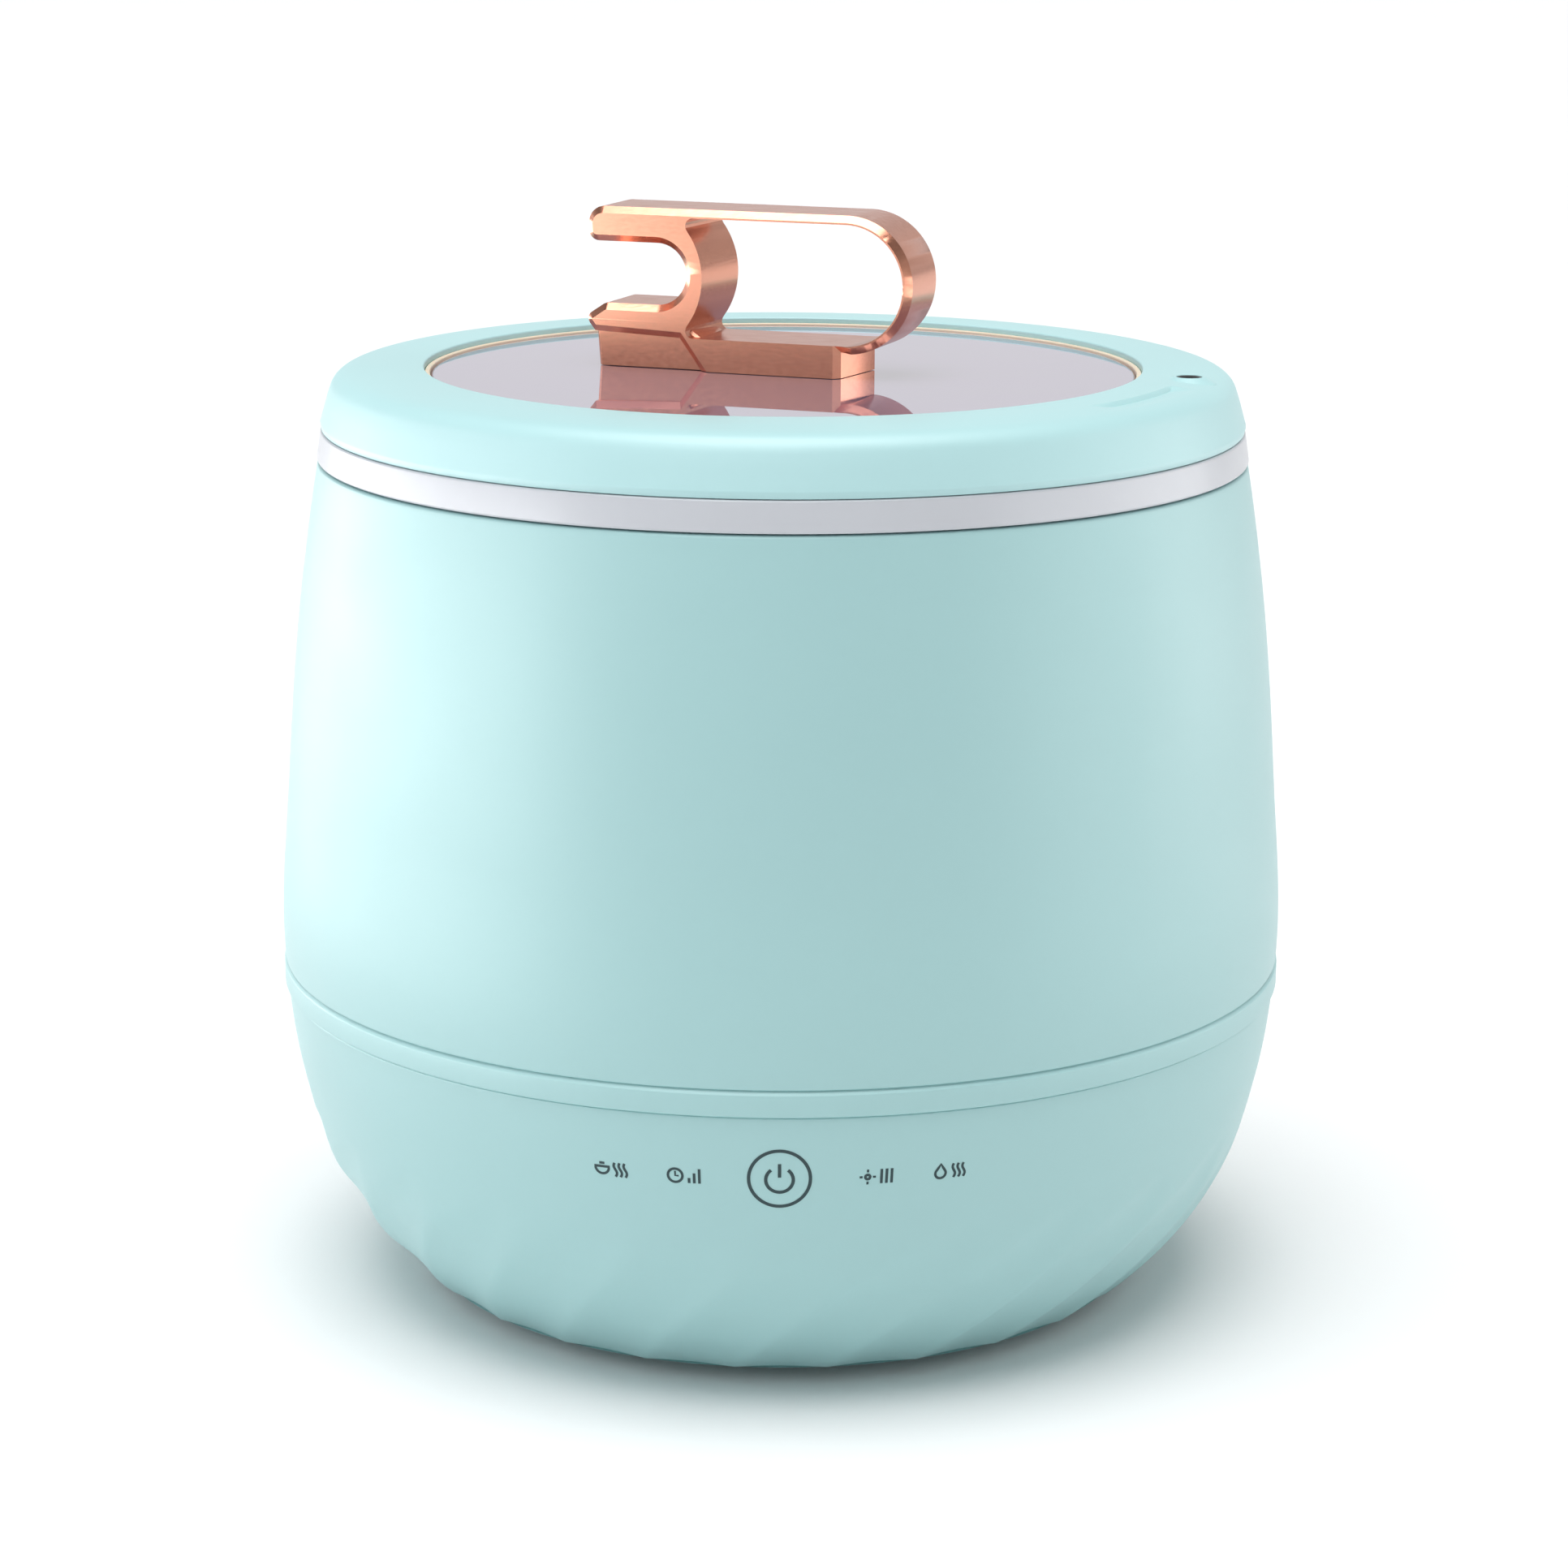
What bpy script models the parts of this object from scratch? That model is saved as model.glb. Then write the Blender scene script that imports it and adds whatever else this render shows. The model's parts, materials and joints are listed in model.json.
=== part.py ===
"""A two-litre slow cooker, built as separate parts.

All dimensions below are millimetres; MM turns them into Blender's metres.
The origin is on the table under the middle of the body, +Z is up and the controls face -Y.
A profile is a list of (radius, height) points; a third number rounds that corner.
"""
import math

import bmesh
import bpy
from mathutils import Matrix

MM = 0.001
GAP = 0.3                      # clearance between parts that touch
SMALL, HIDDEN, LARGE = 12, 32, 48      # segments around small, inner and large round parts

# Body: outer line as (height, radius) stations, joined by a smooth curve
BODY_STATIONS = [(3.0, 73.0), (12.0, 82.1), (25.0, 90.8), (43.0, 96.6), (69.0, 100.0),
                 (103.0, 98.4), (143.0, 94.8), (175.0, 89.7)]
SHELL_WALL = 2.5
UNDERSIDE = 3.0                # height of the base shell's underside; the feet fill the space below
BASE_TOP = 61.6
BAND_TOP = 67.0
SHELL_TOP = 166.4
BAND_PROUD = 0.25              # how far the trim band stands out of the body line

# Swirled flutes round the foot of the base shell
FLUTES = 26
FLUTE_DEPTH = 1.0
FLUTE_FULL, FLUTE_END = 26.0, 38.0     # heights where the flutes start to fade and where they end
FLUTE_LEAN = math.radians(0.62)        # turn to the right for each millimetre of height
FLUTE_MIDDLE = 25.0                    # height where a crest lies on the +X axis

# Crock
CROCK_FLOOR = 48.0
CROCK_THICKNESS = 6.0
CROCK_RIM_TOP = 172.6
CROCK_MOUTH = 77.0

# Lid
LID_TOP = 184.4
LID_OPENING = 70.3             # radius of the ring's inner edge
GLASS_TOP = 183.4
GLASS_THICKNESS = 3.8
GLASS_RADIUS = 69.0
LID_LEDGE = 178.3              # height of the ledge that carries the gasket
VENT_PLACE = (80.3, math.radians(-14.3))   # distance from the axis, and angle from +X
VENT_BORE = 1.9
GASKET_TOP = 183.8

# Handle: one cast section, seen from its front, in handle coordinates (along, up)
HANDLE_TURN = math.radians(-20)
HANDLE_DEPTH = 17.0
HANDLE_HEIGHT = 30.7
LOOP_CENTRE = (15.6, 17.35)
LOOP_RADIUS = 11.7             # inside of the finger loop
LOOP_STRIP = 1.65               # thickness of the loop's strip
HOOK_CENTRE = (-23.65, 17.85)
HOOK_RADIUS = 6.05
WEB_ARC = (-29.35, 17.35, 15.3, 36)      # loop's left side: centre, radius and half spread
HANDLE_SCREWS = (-24.0, 8.0)   # places of the two screws along the handle
FOOT_UNDERCUT = (-19.0, 5.9, 2.0)      # where it ends along the handle, its height and depth

# Heater and pot
LINER_RADIUS = 84.0
LINER_FLOOR = 47.4
LINER_WALL = 0.8
HEATER_RADIUS = 68.0
HEATER_BOTTOM = 39.5
ELEMENT_RADIUS = 52.0
ELEMENT_WIRE = 3.2
SHIELD_BOTTOM = 34.0
SENSOR_TOP = CROCK_FLOOR - GAP
SENSOR_RADIUS = 11.5

# Underside
COVER_RADIUS = 62.0
COVER_THICKNESS = 2.0
COVER_SCREW_CIRCLE = 59.4
FOOT_CIRCLE = 50.0
FOOT_RADIUS = 4.8

# Electronics
BOARD_SIZE = (80.0, 56.0, 1.6)
BOARD_BOTTOM = 12.7
BOARD_POSTS = (34.0, 22.0)
PANEL_FACE = -87.2             # front face of the control board
PANEL_SIZE = (65.2, 1.6, 18.0)
PANEL_BOTTOM = 40.0
TOUCH_HEIGHT = 49.8
TOUCH_ANGLES = (-18.2, -10.1, 0.0, 10.4, 18.4)     # degrees to the right of the front

# Mains inlet at the back
INLET_SIZE = (28.0, 15.6, 20.0)
INLET_BACK = 72.0              # inner end of the inlet's block
INLET_BOTTOM = 21.0
INLET_WALL = 2.0
PIN_SIZE = (4.0, 13.0, 2.0)
PIN_PLACES = ((-7.0, 27.5), (7.0, 27.5), (0.0, 31.5))      # (x, z)

# Base colour, roughness and metallic value of each finish
FINISHES = {
    "mint_gloss": ((0.62, 0.87, 0.87), 0.22, 0.0),
    "white_glaze": ((0.80, 0.80, 0.83), 0.12, 0.0),
    "smoked_glass": ((0.50, 0.48, 0.55), 0.05, 0.0),
    "copper_plate": ((0.80, 0.42, 0.30), 0.25, 1.0),
    "tan_silicone": ((0.74, 0.60, 0.44), 0.55, 0.0),
    "clear_silicone": ((0.80, 0.80, 0.78), 0.50, 0.0),
    "white_plastic": ((0.85, 0.85, 0.84), 0.40, 0.0),
    "grey_rubber": ((0.22, 0.23, 0.24), 0.80, 0.0),
    "aluminium": ((0.78, 0.79, 0.80), 0.35, 1.0),
    "steel": ((0.60, 0.61, 0.63), 0.30, 1.0),
    "black_plastic": ((0.04, 0.04, 0.045), 0.45, 0.0),
    "board_green": ((0.05, 0.25, 0.14), 0.50, 0.0),
}

OBJECT_NAME = "slow_cooker"


# ---------------------------------------------------------------- scene and modelling helpers

def clear_scene():
    """Remove every object, and the materials of an earlier run."""
    for old in list(bpy.data.objects):
        bpy.data.objects.remove(old, do_unlink=True)
    for old in list(bpy.data.materials):
        bpy.data.materials.remove(old)


def collection(name):
    """Return the collection of that name, made and linked if it isn't there yet."""
    found = bpy.data.collections.get(name)
    if found is None:
        found = bpy.data.collections.new(name)
        bpy.context.scene.collection.children.link(found)
    return found


def make_material(name, finish):
    """Make a Principled material with the values of one of the FINISHES."""
    color, roughness, metallic = FINISHES[finish]
    material = bpy.data.materials.new(name)
    material.use_nodes = True
    shader = material.node_tree.nodes["Principled BSDF"]
    shader.inputs["Base Color"].default_value = (*color, 1.0)
    shader.inputs["Roughness"].default_value = roughness
    shader.inputs["Metallic"].default_value = metallic
    return material


def add_part(name, data, finish):
    """Link new object data as a named part with a material of its own."""
    part = bpy.data.objects.new(name, data)
    collection(OBJECT_NAME).objects.link(part)
    data.materials.append(make_material(name, finish))
    return part


def add_cutter(name, mesh):
    """Link a mesh as a Boolean tool that is neither rendered nor part of the object."""
    cutter = bpy.data.objects.new(name, mesh)
    collection("cutters").objects.link(cutter)
    cutter.hide_render = True
    cutter.display_type = "WIRE"
    return cutter


def combine(part, cutter, operation="DIFFERENCE"):
    """Cut the part with the cutter, or join the two with operation UNION."""
    boolean = part.modifiers.new(cutter.name, "BOOLEAN")
    boolean.operation = operation
    boolean.object = cutter


def box_mesh(name, size, centre):
    """A closed box of the given size about a centre."""
    mesh = bpy.data.meshes.new(name)
    shape = bmesh.new()
    bmesh.ops.create_cube(shape, size=1.0)
    bmesh.ops.scale(shape, vec=[side * MM for side in size], verts=shape.verts)
    bmesh.ops.translate(shape, vec=[place * MM for place in centre], verts=shape.verts)
    shape.to_mesh(mesh)
    shape.free()
    return mesh


def cylinder_mesh(name, radius, low, high, segments=SMALL, place=(0.0, 0.0)):
    """A closed upright cylinder between two heights."""
    mesh = bpy.data.meshes.new(name)
    shape = bmesh.new()
    middle = (place[0] * MM, place[1] * MM, (low + high) / 2 * MM)
    bmesh.ops.create_cone(shape, cap_ends=True, segments=segments, radius1=radius * MM,
                          radius2=radius * MM, depth=(high - low) * MM,
                          matrix=Matrix.Translation(middle))
    for face in shape.faces:
        face.smooth = len(face.verts) == 4
    shape.to_mesh(mesh)
    shape.free()
    return mesh


def on_circle(radius, angle):
    """The (x, y) place at a distance from the axis and an angle from +X."""
    return (radius * math.cos(angle), radius * math.sin(angle))


def arc(centre, radius, start, end, steps):
    """Points on an arc between two angles in degrees."""
    angles = [math.radians(start + (end - start) * step / steps) for step in range(steps + 1)]
    return [(centre[0] + radius * math.cos(angle), centre[1] + radius * math.sin(angle))
            for angle in angles]


def round_corner(before, corner, after, radius, steps):
    """Points of an arc of that radius between the two sides of a corner."""
    sides = []
    for other in (before, after):
        dx, dy = other[0] - corner[0], other[1] - corner[1]
        length = math.hypot(dx, dy)
        sides.append((dx / length, dy / length))
    (ax, ay), (bx, by) = sides
    half = math.acos(max(-1.0, min(1.0, ax * bx + ay * by))) / 2
    reach = radius / math.sin(half)
    middle_length = math.hypot(ax + bx, ay + by)
    centre = (corner[0] + (ax + bx) / middle_length * reach,
              corner[1] + (ay + by) / middle_length * reach)
    tangent = radius / math.tan(half)
    first = math.atan2(corner[1] + ay * tangent - centre[1], corner[0] + ax * tangent - centre[0])
    last = math.atan2(corner[1] + by * tangent - centre[1], corner[0] + bx * tangent - centre[0])
    sweep = (last - first + math.pi) % (2 * math.pi) - math.pi
    return arc(centre, radius, math.degrees(first), math.degrees(first + sweep), steps)


def rounded(corners, steps=2):
    """Turn corners of (x, y) or (x, y, radius) into the points of a closed outline."""
    points = []
    for index, corner in enumerate(corners):
        if len(corner) == 2:
            points.append(corner)
            continue
        after = corners[(index + 1) % len(corners)]
        points += round_corner(corners[index - 1], corner, after, corner[2], steps)
    return points


def turned(name, profile, finish, segments=LARGE, place=(0.0, 0.0)):
    """Turn a profile about the Z axis. It runs outwards over the top and down its outer side."""
    mesh = bpy.data.meshes.new(name)
    count = len(profile)
    on_axis = profile[0][0] == 0 and profile[-1][0] == 0
    edges = [(index, (index + 1) % count) for index in range(count - 1 if on_axis else count)]
    mesh.from_pydata([(radius * MM, 0.0, height * MM) for radius, height in profile], edges, [])
    part = add_part(name, mesh, finish)
    part.location = (place[0] * MM, place[1] * MM, 0.0)
    screw = part.modifiers.new("Turn", "SCREW")
    screw.steps = segments
    screw.render_steps = segments
    screw.use_merge_vertices = True
    screw.merge_threshold = 0.00002
    screw.use_smooth_shade = True
    return part


def flat_curve(name, outlines, thickness):
    """A plate of that thickness from closed outlines in XY; the later ones are holes in it."""
    curve = bpy.data.curves.new(name, "CURVE")
    curve.dimensions = "2D"
    curve.fill_mode = "BOTH"
    curve.extrude = thickness / 2 * MM
    for outline in outlines:
        spline = curve.splines.new("POLY")
        spline.points.add(len(outline) - 1)
        for point, (x, y) in zip(spline.points, outline):
            point.co = (x * MM, y * MM, 0.0, 1.0)
        spline.use_cyclic_u = True
    return curve


def wire_curve(name, points, radius):
    """A round wire through points, with filled ends."""
    curve = bpy.data.curves.new(name, "CURVE")
    curve.dimensions = "3D"
    curve.bevel_depth = radius * MM
    curve.bevel_resolution = 2 if radius > 1 else 1
    curve.use_fill_caps = True
    spline = curve.splines.new("POLY")
    spline.points.add(len(points) - 1)
    for point, place in zip(spline.points, points):
        point.co = (*[value * MM for value in place], 1.0)
    return curve


def as_mesh(part):
    """Replace a part by one whose mesh has its modifiers and curve settings worked out."""
    bpy.context.view_layer.update()
    graph = bpy.context.evaluated_depsgraph_get()
    mesh = bpy.data.meshes.new_from_object(part.evaluated_get(graph))
    shape = bmesh.new()
    shape.from_mesh(mesh)
    bmesh.ops.remove_doubles(shape, verts=shape.verts, dist=0.00001)
    shape.to_mesh(mesh)
    shape.free()
    name, matrix = part.name, part.matrix_world.copy()
    bpy.data.objects.remove(part, do_unlink=True)
    solid = bpy.data.objects.new(name, mesh)
    solid.matrix_world = matrix
    collection(OBJECT_NAME).objects.link(solid)
    return solid


def coil_points(radius, low, high, turns, per_turn=8):
    """Points of an upright helix about the origin whose two ends lie flat."""
    count = int(turns * per_turn)
    points = []
    for step in range(count + 1):
        turn = step / per_turn
        rise = min(max((turn - 0.75) / (turns - 1.5), 0.0), 1.0)
        x, y = on_circle(radius, turn * 2 * math.pi)
        points.append((x, y, low + (high - low) * rise))
    return points


# ---------------------------------------------------------------- body line

def body_radius(height):
    """Radius of the body's outer line, on a smooth curve through the stations."""
    last = len(BODY_STATIONS) - 1
    index = 0
    while index < last - 1 and height > BODY_STATIONS[index + 1][0]:
        index += 1
    (low, low_radius), (high, high_radius) = BODY_STATIONS[index:index + 2]
    span = high - low
    t = (height - low) / span
    start, end = station_slope(index) * span, station_slope(index + 1) * span
    return ((2 * t**3 - 3 * t**2 + 1) * low_radius + (t**3 - 2 * t**2 + t) * start
            + (3 * t**2 - 2 * t**3) * high_radius + (t**3 - t**2) * end)


def station_slope(index):
    """Slope of the body line at a station, weighted towards the nearer neighbour."""
    last = len(BODY_STATIONS) - 1
    index_low, index_high = max(index - 1, 0), min(index + 1, last)
    here = BODY_STATIONS[index]
    slopes, spans = [], []
    for first, second in ((index_low, index), (index, index_high)):
        if first != second:
            span = BODY_STATIONS[second][0] - BODY_STATIONS[first][0]
            slopes.append((BODY_STATIONS[second][1] - BODY_STATIONS[first][1]) / span)
            spans.append(span)
    if len(slopes) == 1:
        other = station_slope(1 if here == BODY_STATIONS[0] else last - 1)
        return 2 * slopes[0] - other
    return (slopes[0] * spans[1] + slopes[1] * spans[0]) / (spans[0] + spans[1])


def body_line(heights, inset=0.0):
    """Profile points on the body's outer line, or a distance inside it."""
    return [(body_radius(height) - inset, height) for height in heights]


# ---------------------------------------------------------------- housing

def flute_fade(height):
    """How deep the flutes are at a height, from 1 low down to 0 where they end."""
    t = min(max((height - FLUTE_FULL) / (FLUTE_END - FLUTE_FULL), 0.0), 1.0)
    return 1 - t * t * (3 - 2 * t)


def press_flutes(mesh):
    """Lean every ring of the wall, and press each second line of points in between crests."""
    spacing = math.pi / FLUTES
    for vertex in mesh.vertices:
        x, y, z = vertex.co / MM
        radius, angle = math.hypot(x, y), math.atan2(y, x)
        outside = abs(radius - body_radius(z)) < 0.5
        if outside and round(angle / spacing) % 2:
            radius -= FLUTE_DEPTH * flute_fade(z)
        angle += FLUTE_LEAN * (min(z, FLUTE_END) - FLUTE_MIDDLE)
        x, y = on_circle(radius, angle)
        vertex.co = (x * MM, y * MM, z * MM)


def make_base_shell():
    """Lower housing: a bowl with flutes, a floor ring, a screw ledge and a locating lip."""
    ledge = 3.6                # thickness of the ledge above the bottom cover
    cover_seat = UNDERSIDE + COVER_THICKNESS + GAP
    outer = body_line([BASE_TOP, 49, 38, 31, 24, 16, 9, 4.5]) + [(72.0, UNDERSIDE)]
    floor = [(COVER_RADIUS + GAP, UNDERSIDE), (COVER_RADIUS + GAP, cover_seat),
             (56.5, cover_seat), (56.5, cover_seat + ledge), (64.4, cover_seat + ledge),
             (64.4, cover_seat + GAP), (72.0, cover_seat + GAP)]
    inner = body_line([12, 24, 38, 49, 57], SHELL_WALL)
    lip = [(95.2, 58.5), (95.2, 72.0), (97.0, 72.0), (97.0, BASE_TOP)]
    shell = as_mesh(turned("base_shell", outer + floor + inner + lip, "mint_gloss", 2 * FLUTES))
    press_flutes(shell.data)
    for number in range(4):
        angle = math.radians(45 + 90 * number)
        hole = cylinder_mesh("cover_screw_hole", 1.8, 0, 12,
                             place=on_circle(COVER_SCREW_CIRCLE, angle))
        combine(shell, add_cutter(f"ledge_hole_{number + 1}", hole))
    size = (INLET_SIZE[0] + 2 * GAP, 40.0, INLET_SIZE[2] + 2 * GAP)
    centre = (0.0, 98.0, INLET_BOTTOM + INLET_SIZE[2] / 2)
    combine(shell, add_cutter("inlet_window", box_mesh("inlet_window", size, centre)))
    shell.data.shade_smooth()
    shell.data.set_sharp_from_angle(angle=math.radians(35))


def make_trim_band():
    """Narrow band between the two housings, with a bevelled upper edge."""
    low, high = BASE_TOP + GAP, BAND_TOP
    face = body_radius(high) + BAND_PROUD
    turned("trim_band", [(97.9, high), (face - 0.6, high), (face, high - 0.8),
                         (face, low + 0.5), (face - 0.4, low), (97.9, low)], "mint_gloss")


def make_outer_shell():
    """Upper housing, turned in at the top to carry the crock's rim."""
    low, wall = BAND_TOP + GAP, 2.2
    outer = body_line([SHELL_TOP - 0.6, 150, 130, 110, 90, 76, low])
    inner = body_line([low, 95, 130, SHELL_TOP - wall], wall)
    turned("outer_shell", [(84.6, SHELL_TOP), (body_radius(SHELL_TOP) - 0.6, SHELL_TOP)]
           + outer + inner + [(84.6, SHELL_TOP - wall)], "mint_gloss")


def make_bottom_cover():
    """Screwed cover in the floor ring, with vent slots and four posts for the power board."""
    top = UNDERSIDE + COVER_THICKNESS
    cover = add_part("bottom_cover", cylinder_mesh("bottom_cover", COVER_RADIUS, UNDERSIDE, top,
                                                   LARGE), "white_plastic")
    for number in range(4):
        x = BOARD_POSTS[0] * (1 if number % 2 else -1)
        y = BOARD_POSTS[1] * (1 if number // 2 else -1)
        post = cylinder_mesh("post", 3.0, top - 1, BOARD_BOTTOM - GAP, place=(x, y))
        combine(cover, add_cutter(f"board_post_{number + 1}", post), "UNION")
        angle = math.radians(45 + 90 * number)
        hole = cylinder_mesh("cover_hole", 1.8, 0, 12, place=on_circle(COVER_SCREW_CIRCLE, angle))
        combine(cover, add_cutter(f"cover_hole_{number + 1}", hole))
        hole = cylinder_mesh("foot_hole", 2.2, 0, 12, place=on_circle(FOOT_CIRCLE, angle))
        combine(cover, add_cutter(f"foot_hole_{number + 1}", hole))
    for number in range(5):
        slot = box_mesh("vent_slot", (44.0, 2.6, 10.0), (0.0, 8.0 * (number - 2), UNDERSIDE))
        combine(cover, add_cutter(f"vent_slot_{number + 1}", slot))


def make_feet_and_screws():
    """Four rubber feet with studs in the bottom cover, and the cover's four screws."""
    foot = [(0, 6.2), (1.9, 6.2), (1.9, UNDERSIDE - GAP), (FOOT_RADIUS, UNDERSIDE - GAP),
            (FOOT_RADIUS - 0.6, 0), (0, 0)]
    screw = [(0, 8.6), (1.4, 8.6), (1.4, UNDERSIDE - GAP), (2.8, UNDERSIDE - GAP), (2.8, 1.9),
             (2.0, 1.3), (0, 1.3)]
    for number in range(4):
        angle = math.radians(45 + 90 * number)
        turned(f"foot_{number + 1}", foot, "grey_rubber", SMALL, on_circle(FOOT_CIRCLE, angle))
        turned(f"cover_screw_{number + 1}", screw, "steel", SMALL,
               on_circle(COVER_SCREW_CIRCLE, angle))


# ---------------------------------------------------------------- pot, heater and sensor

def make_crock():
    """Glazed pot that hangs by its rim on the upper housing."""
    rim_low = SHELL_TOP + GAP
    inside_floor = CROCK_FLOOR + CROCK_THICKNESS
    turned("crock", rounded([
        (0, inside_floor), (74.0, inside_floor, 14.0), (CROCK_MOUTH, CROCK_RIM_TOP - 1.2),
        (CROCK_MOUTH + 1, CROCK_RIM_TOP), (90.0, CROCK_RIM_TOP), (90.7, CROCK_RIM_TOP - 0.7),
        (91.5, rim_low + 0.6), (91.0, rim_low), (83.0, rim_low), (79.5, CROCK_FLOOR, 17.0),
        (0, CROCK_FLOOR)]), "white_glaze")


def make_inner_liner():
    """Thin metal pot round the crock, with a hole in its floor for the sensor."""
    top = SHELL_TOP - 2.2 - GAP
    under = LINER_FLOOR - 1.2
    outside = LINER_RADIUS + LINER_WALL
    sensor_hole = SENSOR_RADIUS + 1.0
    turned("inner_liner", rounded([
        (LINER_RADIUS, top), (88.8, top), (88.8, top - LINER_WALL), (outside, top - LINER_WALL),
        (outside, under, 3.2), (sensor_hole, under), (sensor_hole, LINER_FLOOR),
        (LINER_RADIUS, LINER_FLOOR, 2.2)]), "aluminium", HIDDEN)


def make_heater():
    """Cast plate under the liner, with the tubular element in a groove of its underside."""
    top = LINER_FLOOR - 1.2 - GAP
    groove = ELEMENT_WIRE + 0.4
    roof = HEATER_BOTTOM + groove
    turned("heating_plate", [
        (SENSOR_RADIUS + 3.5, top), (HEATER_RADIUS - 1, top), (HEATER_RADIUS, top - 1),
        (HEATER_RADIUS, HEATER_BOTTOM), (ELEMENT_RADIUS + groove, HEATER_BOTTOM),
        (ELEMENT_RADIUS + groove, roof), (ELEMENT_RADIUS - groove, roof),
        (ELEMENT_RADIUS - groove, HEATER_BOTTOM), (SENSOR_RADIUS + 3.5, HEATER_BOTTOM)],
        "aluminium", HIDDEN)
    height = roof - GAP - ELEMENT_WIRE
    ring = arc((0.0, 0.0), ELEMENT_RADIUS, 105, 435, 28)
    add_part("heating_element", wire_curve("heating_element", [(x, y, height) for x, y in ring],
                                           ELEMENT_WIRE), "steel")


def make_heat_shield():
    """Dish that closes the heater off from the electronics below."""
    rim = LINER_FLOOR - 1.2 - GAP
    outside = HEATER_RADIUS + 3
    turned("heat_shield", [
        (outside - 1, rim), (outside, rim), (outside, SHIELD_BOTTOM + 1.5),
        (outside - 1.5, SHIELD_BOTTOM), (16.0, SHIELD_BOTTOM), (16.0, SHIELD_BOTTOM + 1),
        (outside - 2, SHIELD_BOTTOM + 1), (outside - 1, SHIELD_BOTTOM + 2)],
        "aluminium", HIDDEN)


def make_sensor():
    """Sprung cap under the crock, its spring, and the bracket that guides both."""
    wall, skirt = 1.2, 8.0
    turned("sensor_cap", [
        (0, SENSOR_TOP), (SENSOR_RADIUS - 1, SENSOR_TOP), (SENSOR_RADIUS, SENSOR_TOP - 1),
        (SENSOR_RADIUS, SENSOR_TOP - skirt), (SENSOR_RADIUS - wall, SENSOR_TOP - skirt),
        (SENSOR_RADIUS - wall, SENSOR_TOP - wall), (0, SENSOR_TOP - wall)],
        "aluminium", HIDDEN)
    low, high = SHIELD_BOTTOM - GAP, 43.0
    turned("sensor_bracket", [
        (8.4, high), (9.8, high), (9.8, low), (20.0, low), (20.0, low - 1.5), (2.5, low - 1.5),
        (2.5, low - 0.3), (8.4, low - 0.3)], "steel", HIDDEN)
    wire = 0.5
    points = coil_points(6.6, low + wire, SENSOR_TOP - wall - GAP - wire, 5.5)
    add_part("sensor_spring", wire_curve("sensor_spring", points, wire), "steel")


def make_thermal_fuse():
    """Cut-out that lies between the heating plate and the shield."""
    mesh = cylinder_mesh("thermal_fuse", 1.8, -6.0, 6.0)
    mesh.transform(Matrix.Rotation(math.pi / 2, 4, "Y"))
    fuse = add_part("thermal_fuse", mesh, "steel")
    fuse.location = (25.0 * MM, 25.0 * MM, 37.25 * MM)


# ---------------------------------------------------------------- electronics

def make_power_board():
    """Power board on the bottom cover's posts, with its relay, transformer and capacitor."""
    top = BOARD_BOTTOM + BOARD_SIZE[2]
    board = box_mesh("power_board", BOARD_SIZE, (0, 0, BOARD_BOTTOM + BOARD_SIZE[2] / 2))
    add_part("power_board", board, "board_green")
    for name, size, place in (("transformer", (24.0, 20.0, 16.0), (-22.0, 8.0)),
                              ("relay", (18.0, 15.0, 14.0), (18.0, -14.0))):
        middle = (*place, top + GAP + size[2] / 2)
        block = add_part(name, box_mesh(name, size, middle), "black_plastic")
        bevel = block.modifiers.new("Edges", "BEVEL")
        bevel.width = 0.8 * MM
        bevel.segments = 1
    low = top + GAP
    turned("capacitor", [(0, low + 13.4), (5.9, low + 13.4), (6.5, low + 12.8), (6.5, low),
                         (0, low)], "black_plastic", SMALL, (24.0, 14.0))


def make_control_panel():
    """Touch board behind the printed marks, its rail, and a contact spring for each mark."""
    panel_centre = (0.0, PANEL_FACE + PANEL_SIZE[1] / 2, PANEL_BOTTOM + PANEL_SIZE[2] / 2)
    add_part("control_board", box_mesh("control_board", PANEL_SIZE, panel_centre), "board_green")
    rail_top = PANEL_BOTTOM + 2.2
    rail_centre = (0.0, panel_centre[1], rail_top - 2.5)
    rail = add_part("control_bracket", box_mesh("control_bracket", (46.0, 4.4, 5.0), rail_centre),
                    "white_plastic")
    slot_size = (60.0, PANEL_SIZE[1] + 2 * GAP, 5.0)
    slot_centre = (0.0, panel_centre[1], PANEL_BOTTOM - GAP + slot_size[2] / 2)
    combine(rail, add_cutter("panel_slot", box_mesh("panel_slot", slot_size, slot_centre)))
    for number, angle in enumerate(TOUCH_ANGLES):
        make_touch_spring(f"touch_spring_{number + 1}", math.radians(angle))


def make_touch_spring(name, angle):
    """Contact spring from the touch board forward to the inside of the wall."""
    coil, wire = 2.0, 0.35
    inside = body_radius(TOUCH_HEIGHT) - SHELL_WALL
    x = body_radius(TOUCH_HEIGHT) * math.sin(angle)
    reach = math.sqrt(inside**2 - (abs(x) + coil + wire)**2) + PANEL_FACE - 3 * GAP
    turns = 3.5 if reach > 4 else 2.0
    curve = wire_curve(name, coil_points(coil, wire, reach - wire, turns, 6), wire)
    spring = add_part(name, curve, "steel")
    spring.location = (x * MM, (PANEL_FACE - GAP) * MM, TOUCH_HEIGHT * MM)
    spring.rotation_euler = (math.pi / 2, 0.0, 0.0)


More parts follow.
